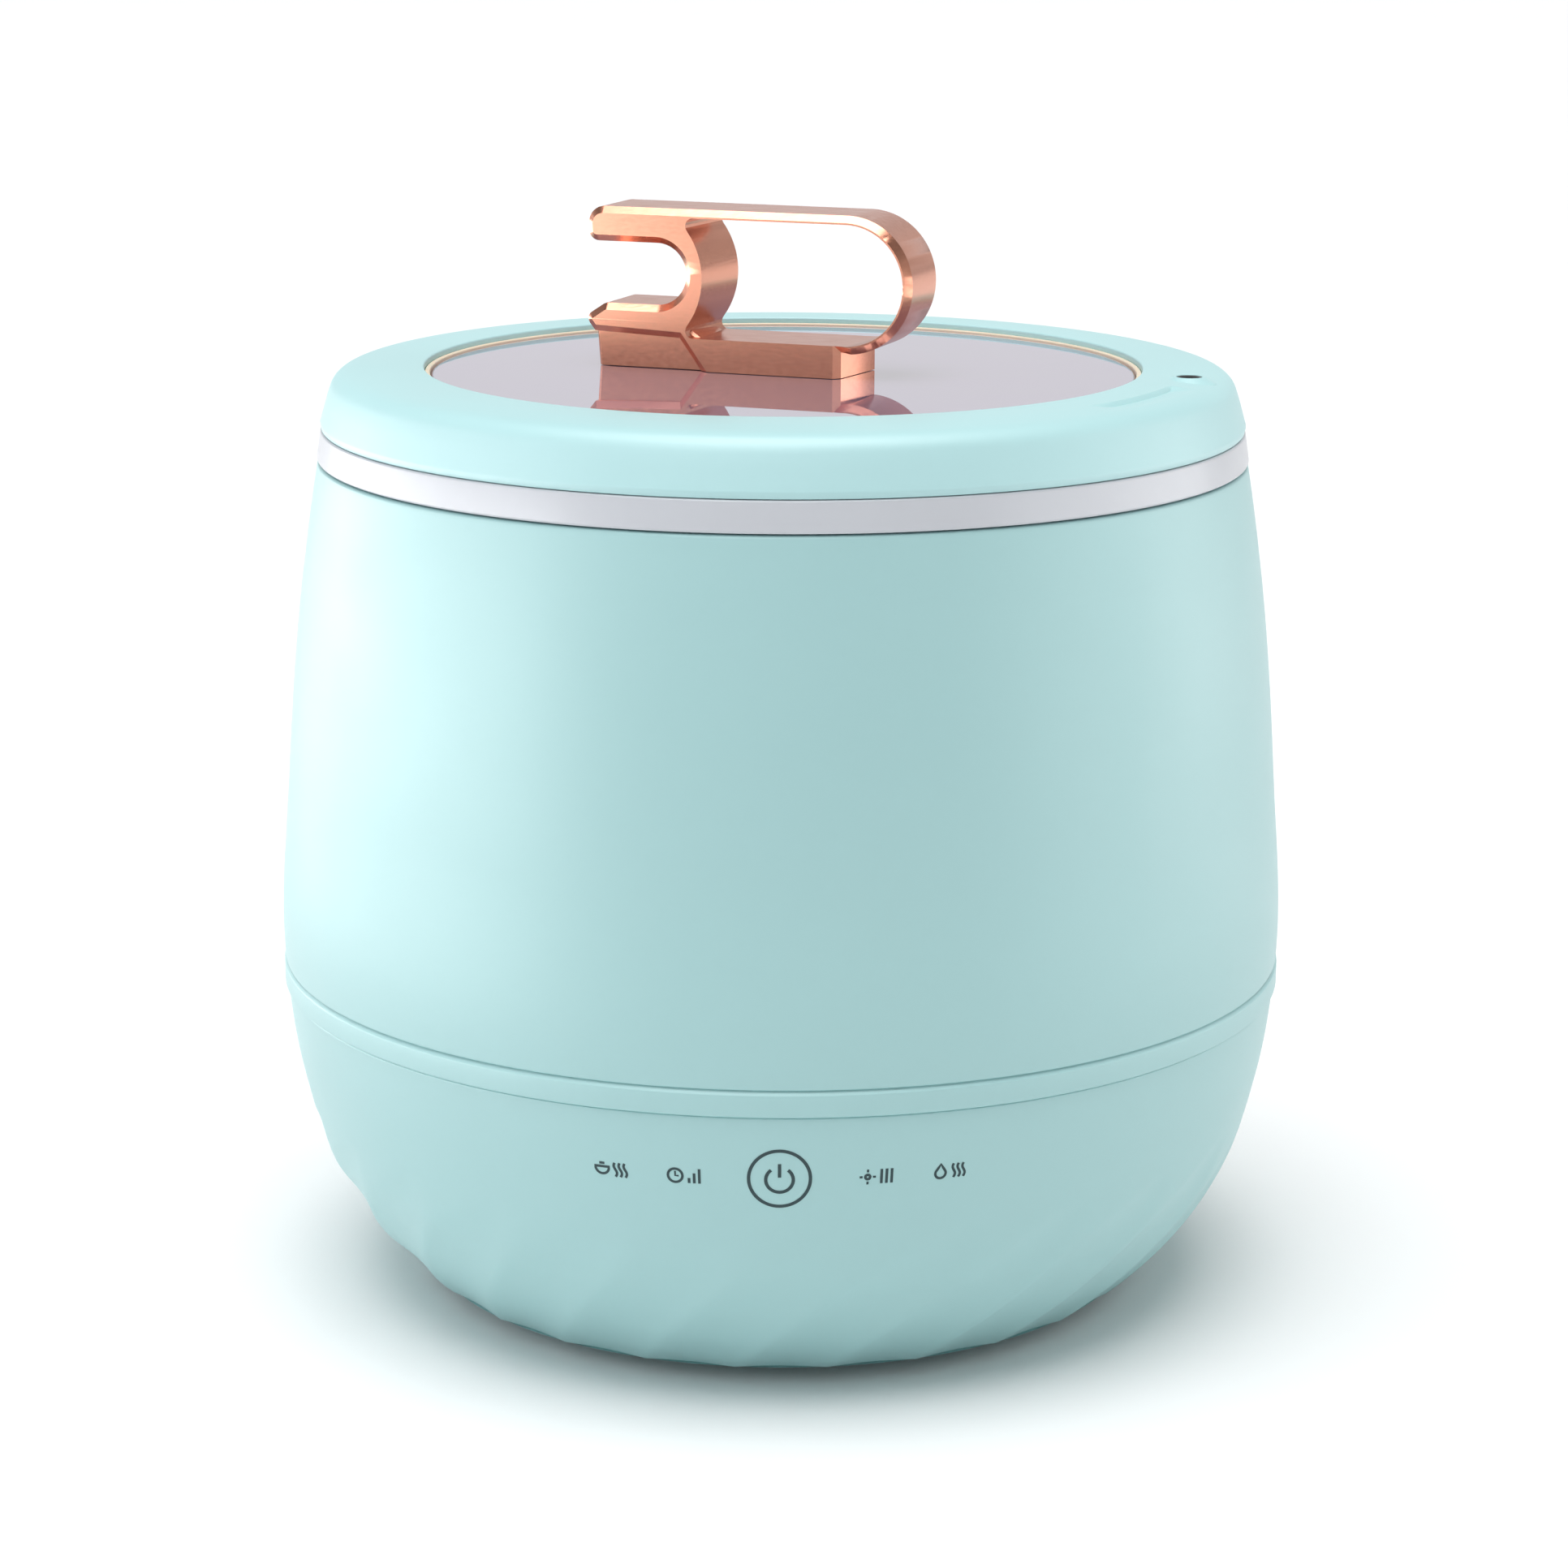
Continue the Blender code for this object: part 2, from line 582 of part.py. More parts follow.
def make_power_inlet():
    """Recessed mains socket in the back of the base shell, with three blade pins."""
    middle = INLET_BOTTOM + INLET_SIZE[2] / 2
    centre = (0.0, INLET_BACK + INLET_SIZE[1] / 2, middle)
    inlet = add_part("power_inlet", box_mesh("power_inlet", INLET_SIZE, centre), "black_plastic")
    cavity = (INLET_SIZE[0] - 2 * INLET_WALL, INLET_SIZE[1], INLET_SIZE[2] - 2 * INLET_WALL)
    cavity_centre = (0.0, centre[1] + INLET_WALL, middle)
    combine(inlet, add_cutter("inlet_cavity", box_mesh("inlet_cavity", cavity, cavity_centre)))
    for number, (x, z) in enumerate(PIN_PLACES):
        pin_centre = (x, INLET_BACK - 0.5 + PIN_SIZE[1] / 2, z)
        pin = box_mesh("pin", PIN_SIZE, pin_centre)
        add_part(f"inlet_pin_{number + 1}", pin, "steel")
        hole_size = (PIN_SIZE[0] + 2 * GAP, 8.0, PIN_SIZE[2] + 2 * GAP)
        hole = box_mesh("pin_hole", hole_size, (x, INLET_BACK, z))
        combine(inlet, add_cutter(f"pin_hole_{number + 1}", hole))


# ---------------------------------------------------------------- lid

def make_lid_ring():
    """Mint ring of the lid: a hollow section open below, with a ledge for the glass."""
    ring = turned("lid_ring", [
        (LID_OPENING, LID_TOP - 0.4), (LID_OPENING + 0.4, LID_TOP), (77.0, LID_TOP),
        (83.6, LID_TOP - 0.5), (86.4, LID_TOP - 1.1), (88.0, LID_TOP - 2.2),
        (88.9, LID_TOP - 4.2),
        (89.9, LID_TOP - 7.7), (90.7, LID_TOP - 10.8), (90.2, LID_TOP - 11.3),
        (88.6, LID_TOP - 11.3), (86.8, 180.2),
        (85.2, 181.4), (73.3, 181.4), (73.3, LID_LEDGE - 2.3), (65.0, LID_LEDGE - 2.3),
        (65.0, LID_LEDGE), (LID_OPENING, LID_LEDGE)], "mint_gloss")
    hole = cylinder_mesh("vent_hole", VENT_BORE + 1.1, 178, 190, HIDDEN, on_circle(*VENT_PLACE))
    combine(ring, add_cutter("vent_hole", hole))
    low = LID_TOP - 5.4
    turned("vent_bushing", [
        (VENT_BORE, LID_TOP - 0.7), (VENT_BORE + 0.8, LID_TOP - 0.7), (VENT_BORE + 0.8, low),
        (VENT_BORE, low)], "clear_silicone", SMALL, on_circle(*VENT_PLACE))


def make_glass():
    """Glass disc with two screw holes, and the silicone gasket round it."""
    low = GLASS_TOP - GLASS_THICKNESS
    glass = turned("lid_glass", [
        (0, GLASS_TOP), (GLASS_RADIUS - 0.5, GLASS_TOP), (GLASS_RADIUS, GLASS_TOP - 0.5),
        (GLASS_RADIUS, low + 0.5), (GLASS_RADIUS - 0.5, low), (0, low)], "smoked_glass")
    for number, place in enumerate(handle_screw_places()):
        hole = cylinder_mesh("glass_hole", 2.8, low - 2, GLASS_TOP + 2, SMALL, place)
        combine(glass, add_cutter(f"glass_hole_{number + 1}", hole))
    foot = LID_LEDGE + GAP
    outside = LID_OPENING - GAP
    turned("glass_gasket", [
        (outside - 0.7, GASKET_TOP), (outside, GASKET_TOP), (outside, foot), (65.4, foot),
        (65.4, low - GAP), (outside - 0.7, low - GAP)], "tan_silicone")


def make_lid_underside():
    """White ring that closes the lid from below and drops into the crock, with its seal."""
    rest = CROCK_RIM_TOP + GAP
    top, tip = LID_LEDGE - 2.6, 168.5
    ring = turned("lid_bottom_ring", [
        (66.0, top), (87.4, top), (87.6, rest), (74.4, rest), (74.4, tip), (72.8, tip),
        (72.8, rest), (66.0, rest)], "white_plastic", HIDDEN)
    steam = cylinder_mesh("steam_hole", 2.0, rest - 1, top + 1, SMALL,
                          on_circle(69.4, VENT_PLACE[1]))
    combine(ring, add_cutter("steam_hole", steam))
    turned("lid_seal", [(74.8, 171.6), (75.4, 171.6), (76.6, 170.6), (75.4, 169.6),
                        (74.8, 169.6)], "clear_silicone", HIDDEN)


def handle_outline():
    """Outer line of the handle: foot and hook on the left, finger loop on the right."""
    hook_left = HOOK_CENTRE[0]
    low, high = HOOK_CENTRE[1] - HOOK_RADIUS, HOOK_CENTRE[1] + HOOK_RADIUS
    strip = LOOP_RADIUS + LOOP_STRIP
    left = rounded([(-36.3, 0.0), (-36.9, 5.9), (-38.6, 8.9), (-34.6, low)])
    hook = arc(HOOK_CENTRE, HOOK_RADIUS, -90, 90, 10)
    arm = rounded([(hook_left, high), (-38.1, high, 1.6), (-38.1, HANDLE_HEIGHT, 3.0),
                   (LOOP_CENTRE[0], HANDLE_HEIGHT)], 3)
    loop = arc(LOOP_CENTRE, strip, 90, -90, 14)
    return left + hook + arm[1:-1] + loop + [(14.5, LOOP_CENTRE[1] - strip), (14.5, 0.0)]


def loop_outline():
    """The finger opening: a bowed web on the left and a half circle on the right."""
    web_x, web_y, web_radius, spread = WEB_ARC
    web = arc((web_x, web_y), web_radius, spread, -spread, 6)
    low, high = LOOP_CENTRE[1] - LOOP_RADIUS, LOOP_CENTRE[1] + LOOP_RADIUS
    corner_x = web[0][0] - (high - web[0][1]) * math.tan(math.radians(spread))
    right = arc(LOOP_CENTRE, LOOP_RADIUS, -90, 90, 14)
    return rounded([(corner_x, high, 1.5)] + web + [(corner_x, low, 1.5)] + right)


def handle_screw_places():
    """The (x, y) places of the two handle screws."""
    return [on_circle(along, HANDLE_TURN) for along in HANDLE_SCREWS]


def make_handle():
    """Cast handle on the glass, with blind screw holes and an undercut below the hook."""
    foot = GLASS_TOP + GAP
    curve = flat_curve("lid_handle", [handle_outline(), loop_outline()], HANDLE_DEPTH)
    handle = add_part("lid_handle", curve, "copper_plate")
    handle.location = (0.0, 0.0, foot * MM)
    handle.rotation_euler = (math.pi / 2, 0.0, HANDLE_TURN)
    handle = as_mesh(handle)
    for number, place in enumerate(handle_screw_places()):
        hole = add_cutter(f"handle_hole_{number + 1}",
                          cylinder_mesh("hole", 1.9, foot - 2, foot + 4.0, SMALL, place))
        combine(handle, hole)
    end, height, depth = FOOT_UNDERCUT
    size = (40.0, 2 * depth, height + 1.0)
    for name, side in (("front", -1), ("back", 1)):
        centre = (end - size[0] / 2, side * HANDLE_DEPTH / 2, height - size[2] / 2)
        notch = add_cutter(f"foot_undercut_{name}", box_mesh("undercut", size, centre))
        notch.location = (0.0, 0.0, foot * MM)
        notch.rotation_euler = (0.0, 0.0, HANDLE_TURN)
        combine(handle, notch)


def slotted_plate(name, low, high, finish):
    """A round-ended plate under the glass with a hole for each handle screw."""
    middle, half, radius = sum(HANDLE_SCREWS) / 2, 16.0, 6.5
    outline = (arc((middle + half, 0.0), radius, -90, 90, 6)
               + arc((middle - half, 0.0), radius, 90, 270, 6))
    holes = [arc((along, 0.0), 2.6, 0, 330, 11) for along in HANDLE_SCREWS]
    plate = add_part(name, flat_curve(name, [outline] + holes, high - low), finish)
    plate.location = (0.0, 0.0, (low + high) / 2 * MM)
    plate.rotation_euler = (0.0, 0.0, HANDLE_TURN)
    as_mesh(plate)


def make_handle_fixings():
    """Silicone pad, steel plate and two screws that hold the handle through the glass."""
    pad_top = GLASS_TOP - GLASS_THICKNESS - GAP
    slotted_plate("handle_pad", pad_top - 0.9, pad_top, "clear_silicone")
    plate_top = pad_top - 0.9 - GAP
    slotted_plate("handle_backplate", plate_top - 1.2, plate_top, "steel")
    seat = plate_top - 1.2 - GAP
    profile = [(0, GLASS_TOP + 3.4), (1.5, GLASS_TOP + 3.4), (1.5, seat), (3.4, seat),
               (3.4, seat - 1.0), (2.4, seat - 1.8), (0, seat - 1.8)]
    for number, place in enumerate(handle_screw_places()):
        turned(f"handle_screw_{number + 1}", profile, "steel", SMALL, place)


def main():
    """Build the whole slow cooker."""
    clear_scene()
    make_base_shell()
    make_trim_band()
    make_outer_shell()
    make_bottom_cover()
    make_feet_and_screws()
    make_crock()
    make_inner_liner()
    make_heater()
    make_heat_shield()
    make_sensor()
    make_thermal_fuse()
    make_power_board()
    make_control_panel()
    make_power_inlet()
    make_lid_ring()
    make_glass()
    make_lid_underside()
    make_handle()
    make_handle_fixings()


main()
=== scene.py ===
"""Looks of the two-litre slow cooker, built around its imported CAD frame.

Sizes are millimetres, and MM turns them into metres. Heights and radii come from the frame where
the CAD holds them. A profile is a list of (radius, height) points that runs outwards over the
top and down the outer side; a third number rounds that corner.
"""
import json
import math

import bmesh
import bpy
import numpy as np
from mathutils import Matrix, Vector


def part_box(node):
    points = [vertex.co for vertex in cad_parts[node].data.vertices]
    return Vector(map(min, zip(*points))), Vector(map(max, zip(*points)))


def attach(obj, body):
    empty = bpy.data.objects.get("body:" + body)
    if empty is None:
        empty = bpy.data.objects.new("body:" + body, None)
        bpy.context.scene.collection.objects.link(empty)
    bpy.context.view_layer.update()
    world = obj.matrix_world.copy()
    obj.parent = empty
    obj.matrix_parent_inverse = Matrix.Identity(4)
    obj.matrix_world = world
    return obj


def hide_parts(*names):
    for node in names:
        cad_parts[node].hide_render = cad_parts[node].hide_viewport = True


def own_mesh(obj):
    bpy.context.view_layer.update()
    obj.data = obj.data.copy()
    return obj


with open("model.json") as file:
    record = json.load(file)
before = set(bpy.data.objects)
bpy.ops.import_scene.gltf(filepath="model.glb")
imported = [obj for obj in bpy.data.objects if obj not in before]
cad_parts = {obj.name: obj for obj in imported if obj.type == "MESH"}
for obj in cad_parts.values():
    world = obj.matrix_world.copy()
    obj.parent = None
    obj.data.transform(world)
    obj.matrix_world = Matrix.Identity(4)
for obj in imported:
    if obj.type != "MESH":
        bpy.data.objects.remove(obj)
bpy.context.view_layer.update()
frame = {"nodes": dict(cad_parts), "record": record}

MM = 0.001
ROUND = 288                     # segments around the large turned pieces
RING_ROUND = 720                # segments around the lid ring, for the ends of its spoon rest
SMALL_ROUND = 48                # segments around feet, screws and the vent
SHARP_ANGLE = math.radians(38)  # edges sharper than this stay crisp in shading


def low(node):
    """Height of a CAD node's lowest point."""
    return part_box(node)[0].z / MM


def top(node):
    """Height of a CAD node's highest point."""
    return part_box(node)[1].z / MM


def reach(node):
    """Largest radius of a CAD node that is turned about the Z axis."""
    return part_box(node)[1].x / MM


def span(node):
    """Size and centre of a CAD node."""
    first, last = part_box(node)
    return ([(last[axis] - first[axis]) / MM for axis in range(3)],
            [(last[axis] + first[axis]) / 2 / MM for axis in range(3)])


def middle(node):
    """The (x, y) middle of a CAD node."""
    return tuple(span(node)[1][:2])


# Body line, as (height, radius) stations
BODY_STATIONS = [(3.0, 73.0), (12.0, 82.1), (25.0, 90.8), (43.0, 96.6), (69.0, 100.0),
                 (103.0, 98.4), (143.0, 94.8), (175.0, 89.7)]
SHELL_WALL = 2.2
BASE_WALL = 2.5

# Swirled flutes of the base shell
FLUTES = 26
FLUTE_DEPTH = 1.15
FLUTE_FULL, FLUTE_END = 24.0, 39.0     # heights where a flute is full and where its tip ends
FLUTE_LEAN = math.radians(0.62)        # turn to the right for each millimetre of height
FLUTE_MIDDLE = 25.0                    # height where a crest lies on the +X axis
FLUTE_REACH = 0.6                      # how close to the body's line a point is pressed in

# Lid
SPOON_REST = (-46.0, -21.5, 78.8, 0.8)  # end angles from +X, radius of its edge, and depth
REST_LEFT, REST_RIGHT = 7.0, 1.2       # degrees over which its two ends fade
REST_DROP, REST_RISE = 0.5, 4.5        # widths of its steep inner side and its gentle outer side
CROWN_SKIN = 1.2                       # the rest only presses in points this near the top
GLASS_SINK = 0.5                       # how much the glass and its gasket lie below the CAD's tops
VENT_HOLE = 2.6

# Sensor spring
SPRING_WIRE = 0.5
SPRING_TURNS = 5.5

# Handle, in handle coordinates (along, up)
HANDLE_TURN = math.radians(-20)
HANDLE_DEPTH = 17.0
HANDLE_CHAMFER = 1.3
HANDLE_SOFT = 0.3              # rounding left on every edge of the casting
HANDLE_SHARP = math.radians(18)        # its edges sharper than this stay crisp in shading
HANDLE_ROUNDED = math.radians(30)      # its edges sharper than this get the rounding
FOOT_UNDERCUT = (-19.0, 5.5, 2.0)      # where it ends along the handle, its height and depth
FOOT_DROP = -0.7               # the foot reaches down to the glass
FOOT_SPARE = 2.0               # what is cut off below it, so that its end has no chamfer
WEB_SIDE, WEB_FLARE = -8.5, 1.5        # right side of the web, and its step at the handle's back
BAR_END, BAR_FLARE = (12.5, 15.2, 5.9), 2.0    # right end of the foot's bar, and its step
LOOP_CENTRE = (15.6, 17.35)
LOOP_RADIUS = 11.7
LOOP_STRIP = 1.65              # thickness of the metal around the loop
HOOK_CENTRE = (-23.65, 17.85)
HOOK_RADIUS = 6.05
WEB_ARC = (-29.35, 17.35, 15.3, 36)    # centre, radius, and half its spread in degrees
HANDLE_HEIGHT = top("lid_handle") - low("lid_handle")

# Printed touch marks
MARK_HEIGHT = 49.8
MARK_ANGLES = (-18.2, -10.1, 10.4, 18.4)       # degrees to the right of the front
MARK_RING = (5.6, 0.62)                        # radius and line width of the middle mark
MARK_LINE, MARK_BOLD = 0.48, 0.5               # usual line widths of the pictograms
HAND_LINE, RAY_LINE = 0.34, 0.4                # line widths of the clock's hands and sun's rays
ICON_SHIFT = 1.75                              # from the middle of a pair to its pictograms
BAR_SPACE, BAR_FOOT, BAR_FULL = 0.95, -1.4, 2.9
INK_LIFT, INK_THICKNESS = 0.03, 0.04

# Camera, in metres
CAMERA_PLACE = (0.0005, -0.7847, 0.2925)
CAMERA_PITCH = math.radians(13.84)
CAMERA_ROLL = math.radians(0.25)
CAMERA_LENS = 92.09

# Studio, in metres and watts
COOKER_MIDDLE = Vector((0.0, 0.0, 0.10))
COOL, WARM = (0.94, 0.96, 1.0), (1.0, 0.97, 0.96)
SKY = (0.97, 0.985, 1.0, 1.0)
SKY_HORIZON, SKY_ZENITH = 0.50, 0.22


# ---------------------------------------------------------------- outlines

def arc(centre, radius, start, end, steps):
    """Points on an arc between two angles in degrees."""
    angles = [math.radians(start + (end - start) * step / steps) for step in range(steps + 1)]
    return [(centre[0] + radius * math.cos(angle), centre[1] + radius * math.sin(angle))
            for angle in angles]


def round_corner(before, corner, after, radius, steps):
    """Points of an arc of that radius between the two sides of a corner."""
    sides = []
    for other in (before, after):
        dx, dy = other[0] - corner[0], other[1] - corner[1]
        length = math.hypot(dx, dy)
        sides.append((dx / length, dy / length))
    (ax, ay), (bx, by) = sides
    half = math.acos(max(-1.0, min(1.0, ax * bx + ay * by))) / 2
    distance = radius / math.sin(half)
    length = math.hypot(ax + bx, ay + by)
    centre = (corner[0] + (ax + bx) / length * distance, corner[1] + (ay + by) / length * distance)
    tangent = radius / math.tan(half)
    first = math.atan2(corner[1] + ay * tangent - centre[1], corner[0] + ax * tangent - centre[0])
    last = math.atan2(corner[1] + by * tangent - centre[1], corner[0] + bx * tangent - centre[0])
    sweep = (last - first + math.pi) % (2 * math.pi) - math.pi
    return arc(centre, radius, math.degrees(first), math.degrees(first + sweep), steps)


def rounded(corners, steps=4):
    """Turn corners of (x, y) or (x, y, radius) into the points of a closed outline."""
    points = []
    for index, corner in enumerate(corners):
        if len(corner) == 2:
            points.append(corner)
            continue
        after = corners[(index + 1) % len(corners)]
        points += round_corner(corners[index - 1], corner, after, corner[2], steps)
    return points


def smooth_line(points, steps):
    """A smooth curve through (x, y) points, with that many steps between each two."""
    ends = [2 * np.array(points[0]) - np.array(points[1])]
    ends += [np.array(point) for point in points]
    ends += [2 * np.array(points[-1]) - np.array(points[-2])]
    line = []
    for index in range(1, len(ends) - 2):
        p0, p1, p2, p3 = ends[index - 1:index + 3]
        for t in np.arange(steps) / steps:
            square = (2 * p0 - 5 * p1 + 4 * p2 - p3) * t**2
            cube = (3 * p1 - p0 - 3 * p2 + p3) * t**3
            line.append(tuple(0.5 * (2 * p1 + (p2 - p0) * t + square + cube)))
    return line + [tuple(points[-1])]


def station_slope(index):
    """Slope of the body line at a station, weighted towards the nearer neighbour."""
    last = len(BODY_STATIONS) - 1
    slopes, spans = [], []
    for first, second in ((max(index - 1, 0), index), (index, min(index + 1, last))):
        if first != second:
            span = BODY_STATIONS[second][0] - BODY_STATIONS[first][0]
            slopes.append((BODY_STATIONS[second][1] - BODY_STATIONS[first][1]) / span)
            spans.append(span)
    if len(slopes) == 1:
        other = station_slope(1 if index == 0 else last - 1)
        return 2 * slopes[0] - other
    return (slopes[0] * spans[1] + slopes[1] * spans[0]) / (spans[0] + spans[1])


def body_radius(height):
    """Radius of the body's outer line at a height."""
    last = len(BODY_STATIONS) - 1
    index = 0
    while index < last - 1 and height > BODY_STATIONS[index + 1][0]:
        index += 1
    (first, first_radius), (second, second_radius) = BODY_STATIONS[index:index + 2]
    span = second - first
    t = (height - first) / span
    start, end = station_slope(index) * span, station_slope(index + 1) * span
    return ((2 * t**3 - 3 * t**2 + 1) * first_radius + (t**3 - 2 * t**2 + t) * start
            + (3 * t**2 - 2 * t**3) * second_radius + (t**3 - t**2) * end)


def body_line(start, end, steps, inset=0.0):
    """Profile points on the body's line between two heights, or a distance inside it."""
    return [(body_radius(height) - inset, height) for height in np.linspace(start, end, steps)]


def on_circle(radius, angle):
    """The (x, y) place at a distance from the axis and an angle from +X."""
    return (radius * math.cos(angle), radius * math.sin(angle))


# ---------------------------------------------------------------- meshes

def add_piece(name, mesh):
    """Link a mesh as an object with smooth faces and sharp corners kept."""
    mesh.shade_smooth()
    mesh.set_sharp_from_angle(angle=SHARP_ANGLE)
    piece = bpy.data.objects.new(name, mesh)
    bpy.context.scene.collection.objects.link(piece)
    return piece


def turned(name, profile, segments=ROUND, place=(0.0, 0.0), reshape=None):
    """Turn a closed profile about a vertical axis. reshape may move each (radius, angle, z)."""
    count = len(profile)
    radius = np.array([point[0] for point in profile], float)[:, None]
    height = np.array([point[1] for point in profile], float)[:, None]
    angle = np.arange(segments)[None, :] * (2 * math.pi / segments)
    radius, angle, height = np.broadcast_arrays(radius, angle, height)
    if reshape:
        radius, angle, height = reshape(radius, angle, height)
    places = np.stack([radius * np.cos(angle) + place[0], radius * np.sin(angle) + place[1],
                       height], axis=-1).reshape(-1, 3) * MM
    on_axis = profile[0][0] == 0 and profile[-1][0] == 0
    faces = []
    for row in range(count - 1 if on_axis else count):
        here, below = row * segments, (row + 1) % count * segments
        for step in range(segments):
            after = (step + 1) % segments
            faces.append((here + step, below + step, below + after, here + after))
    mesh = bpy.data.meshes.new(name)
    mesh.from_pydata(places.tolist(), [], faces)
    clean(mesh)
    return add_piece(name, mesh)


def clean(mesh, distance=0.000002):
    """Merge points that coincide, and drop faces that have no area."""
    shape = bmesh.new()
    shape.from_mesh(mesh)
    bmesh.ops.remove_doubles(shape, verts=shape.verts, dist=distance)
    bmesh.ops.dissolve_degenerate(shape, edges=shape.edges, dist=distance / 2)
    bmesh.ops.recalc_face_normals(shape, faces=shape.faces)
    shape.to_mesh(mesh)
    shape.free()
    mesh.update()


def cut(piece, *tools):
    """Cut closed tool objects out of a piece, and remove the tools."""
    for tool in tools:
        boolean = piece.modifiers.new("Cut", "BOOLEAN")
        boolean.operation = "DIFFERENCE"
        boolean.object = tool
    bake(piece)
    for tool in tools:
        bpy.data.objects.remove(tool)


def bake(piece):
    """Work a piece's modifiers or curve settings into a plain mesh."""
    bpy.context.view_layer.update()
    graph = bpy.context.evaluated_depsgraph_get()
    mesh = bpy.data.meshes.new_from_object(piece.evaluated_get(graph))
    if piece.type == "CURVE":
        clean(mesh)
        name, matrix = piece.name, piece.matrix_world.copy()
        bpy.data.objects.remove(piece)
        piece = add_piece(name, mesh)
        piece.matrix_world = matrix
        return piece
    piece.modifiers.clear()
    piece.data = mesh
    mesh.shade_smooth()
    mesh.set_sharp_from_angle(angle=SHARP_ANGLE)
    return piece


def block(name, size, centre, edge=0.0):
    """A box about a centre, with rounded edges if edge is given."""
    shape = bmesh.new()
    bmesh.ops.create_cube(shape, size=1.0)
    bmesh.ops.scale(shape, vec=[side * MM for side in size], verts=shape.verts)
    if edge:
        bmesh.ops.bevel(shape, geom=shape.edges, offset=edge * MM, segments=3, profile=0.5,
                        affect="EDGES")
    bmesh.ops.translate(shape, vec=[place * MM for place in centre], verts=shape.verts)
    mesh = bpy.data.meshes.new(name)
    shape.to_mesh(mesh)
    shape.free()
    return add_piece(name, mesh)


def rod(name, radius, start, end, place):
    """A plain upright cylinder, used as a cutting tool."""
    return turned(name, [(0, end), (radius, end), (radius, start), (0, start)], SMALL_ROUND, place)


# ---------------------------------------------------------------- materials

class Finish:
    """A Principled material whose colour, roughness and relief come from noise in metres."""

    def __init__(self, name, metallic=0.0, ior=1.5):
        self.material = bpy.data.materials.new(name)
        self.material.use_nodes = True
        self.tree = self.material.node_tree
        self.shader = self.tree.nodes["Principled BSDF"]
        self.shader.inputs["Metallic"].default_value = metallic
        self.shader.inputs["IOR"].default_value = ior
        self.place = self.tree.nodes.new("ShaderNodeTexCoord").outputs["Object"]

    def set(self, **values):
        """Set numbers on the shader's own sockets, with _ for a space in a socket's name."""
        for name, value in values.items():
            self.shader.inputs[name.replace("_", " ")].default_value = value
        return self

    def node(self, kind, inputs=(), **settings):
        """Add a node, and link or set its inputs in order."""
        node = self.tree.nodes.new(kind)
        for name, value in settings.items():
            setattr(node, name, value)
        for socket, value in inputs:
            if isinstance(value, bpy.types.NodeSocket):
                self.tree.links.new(value, node.inputs[socket])
            else:
                node.inputs[socket].default_value = value
        return node

    def stretched(self, scale):
        """Object coordinates stretched by a factor along each axis."""
        return self.node("ShaderNodeMapping", [("Vector", self.place), ("Scale", scale)]
                         ).outputs["Vector"]

    def spun(self):
        """Coordinates that only change with the distance from the Z axis and the height."""
        parts = self.node("ShaderNodeSeparateXYZ", [("Vector", self.place)])
        flat = self.node("ShaderNodeCombineXYZ", [("X", parts.outputs["X"]),
                                                  ("Y", parts.outputs["Y"])])
        length = self.node("ShaderNodeVectorMath", [(0, flat.outputs[0])], operation="LENGTH")
        joined = self.node("ShaderNodeCombineXYZ", [("X", length.outputs["Value"]),
                                                    ("Z", parts.outputs["Z"])])
        return joined.outputs[0]

    def noise(self, size, detail=2.0, where=None):
        """Noise from 0 to 1 with features of that size in millimetres."""
        node = self.node("ShaderNodeTexNoise", [("Vector", where or self.place),
                                                ("Scale", 1 / (size * MM)), ("Detail", detail)])
        return node.outputs["Fac"]

    def cells(self, size):
        """Distance to scattered points that far apart in millimetres."""
        node = self.node("ShaderNodeTexVoronoi", [("Vector", self.place),
                                                  ("Scale", 1 / (size * MM))])
        return node.outputs["Distance"]

    def ramp(self, factor, start, end, low_value=0.0, high_value=1.0):
        """Map the range from start to end smoothly onto two values."""
        node = self.node("ShaderNodeMapRange", [("Value", factor), ("From Min", start),
                                                ("From Max", end), ("To Min", low_value),
                                                ("To Max", high_value)],
                         interpolation_type="SMOOTHSTEP")
        return node.outputs["Result"]

    def color(self, first, second, factor):
        """Mix two colours by the factor into the base colour."""
        node = self.node("ShaderNodeMix", [("Factor", factor)], data_type="RGBA")
        node.inputs[6].default_value = (*first, 1.0)
        node.inputs[7].default_value = (*second, 1.0)
        self.tree.links.new(node.outputs[2], self.shader.inputs["Base Color"])
        return self

    def rough(self, smooth, coarse, factor):
        """Let the roughness run between two values with the factor."""
        value = self.ramp(factor, 0.25, 0.75, smooth, coarse)
        self.tree.links.new(value, self.shader.inputs["Roughness"])
        return self

    def bump(self, *layers):
        """Relief from (height factor, depth in millimetres) layers."""
        normal = None
        for height, depth in layers:
            inputs = [("Height", height), ("Distance", depth * MM), ("Strength", 1.0)]
            if normal is not None:
                inputs.append(("Normal", normal))
            normal = self.node("ShaderNodeBump", inputs).outputs["Normal"]
        self.tree.links.new(normal, self.shader.inputs["Normal"])
        return self


def mint_gloss(name, first, second):
    """Glossy mint moulding with faint flow marks and a fine orange-peel skin."""
    finish = Finish(name)
    finish.color(first, second, finish.noise(60, 2))
    finish.rough(0.44, 0.52, finish.noise(30, 2))
    finish.bump((finish.noise(2.5, 1), 0.0025))
    return finish.set(Coat_Weight=0.4, Coat_Roughness=0.40).material


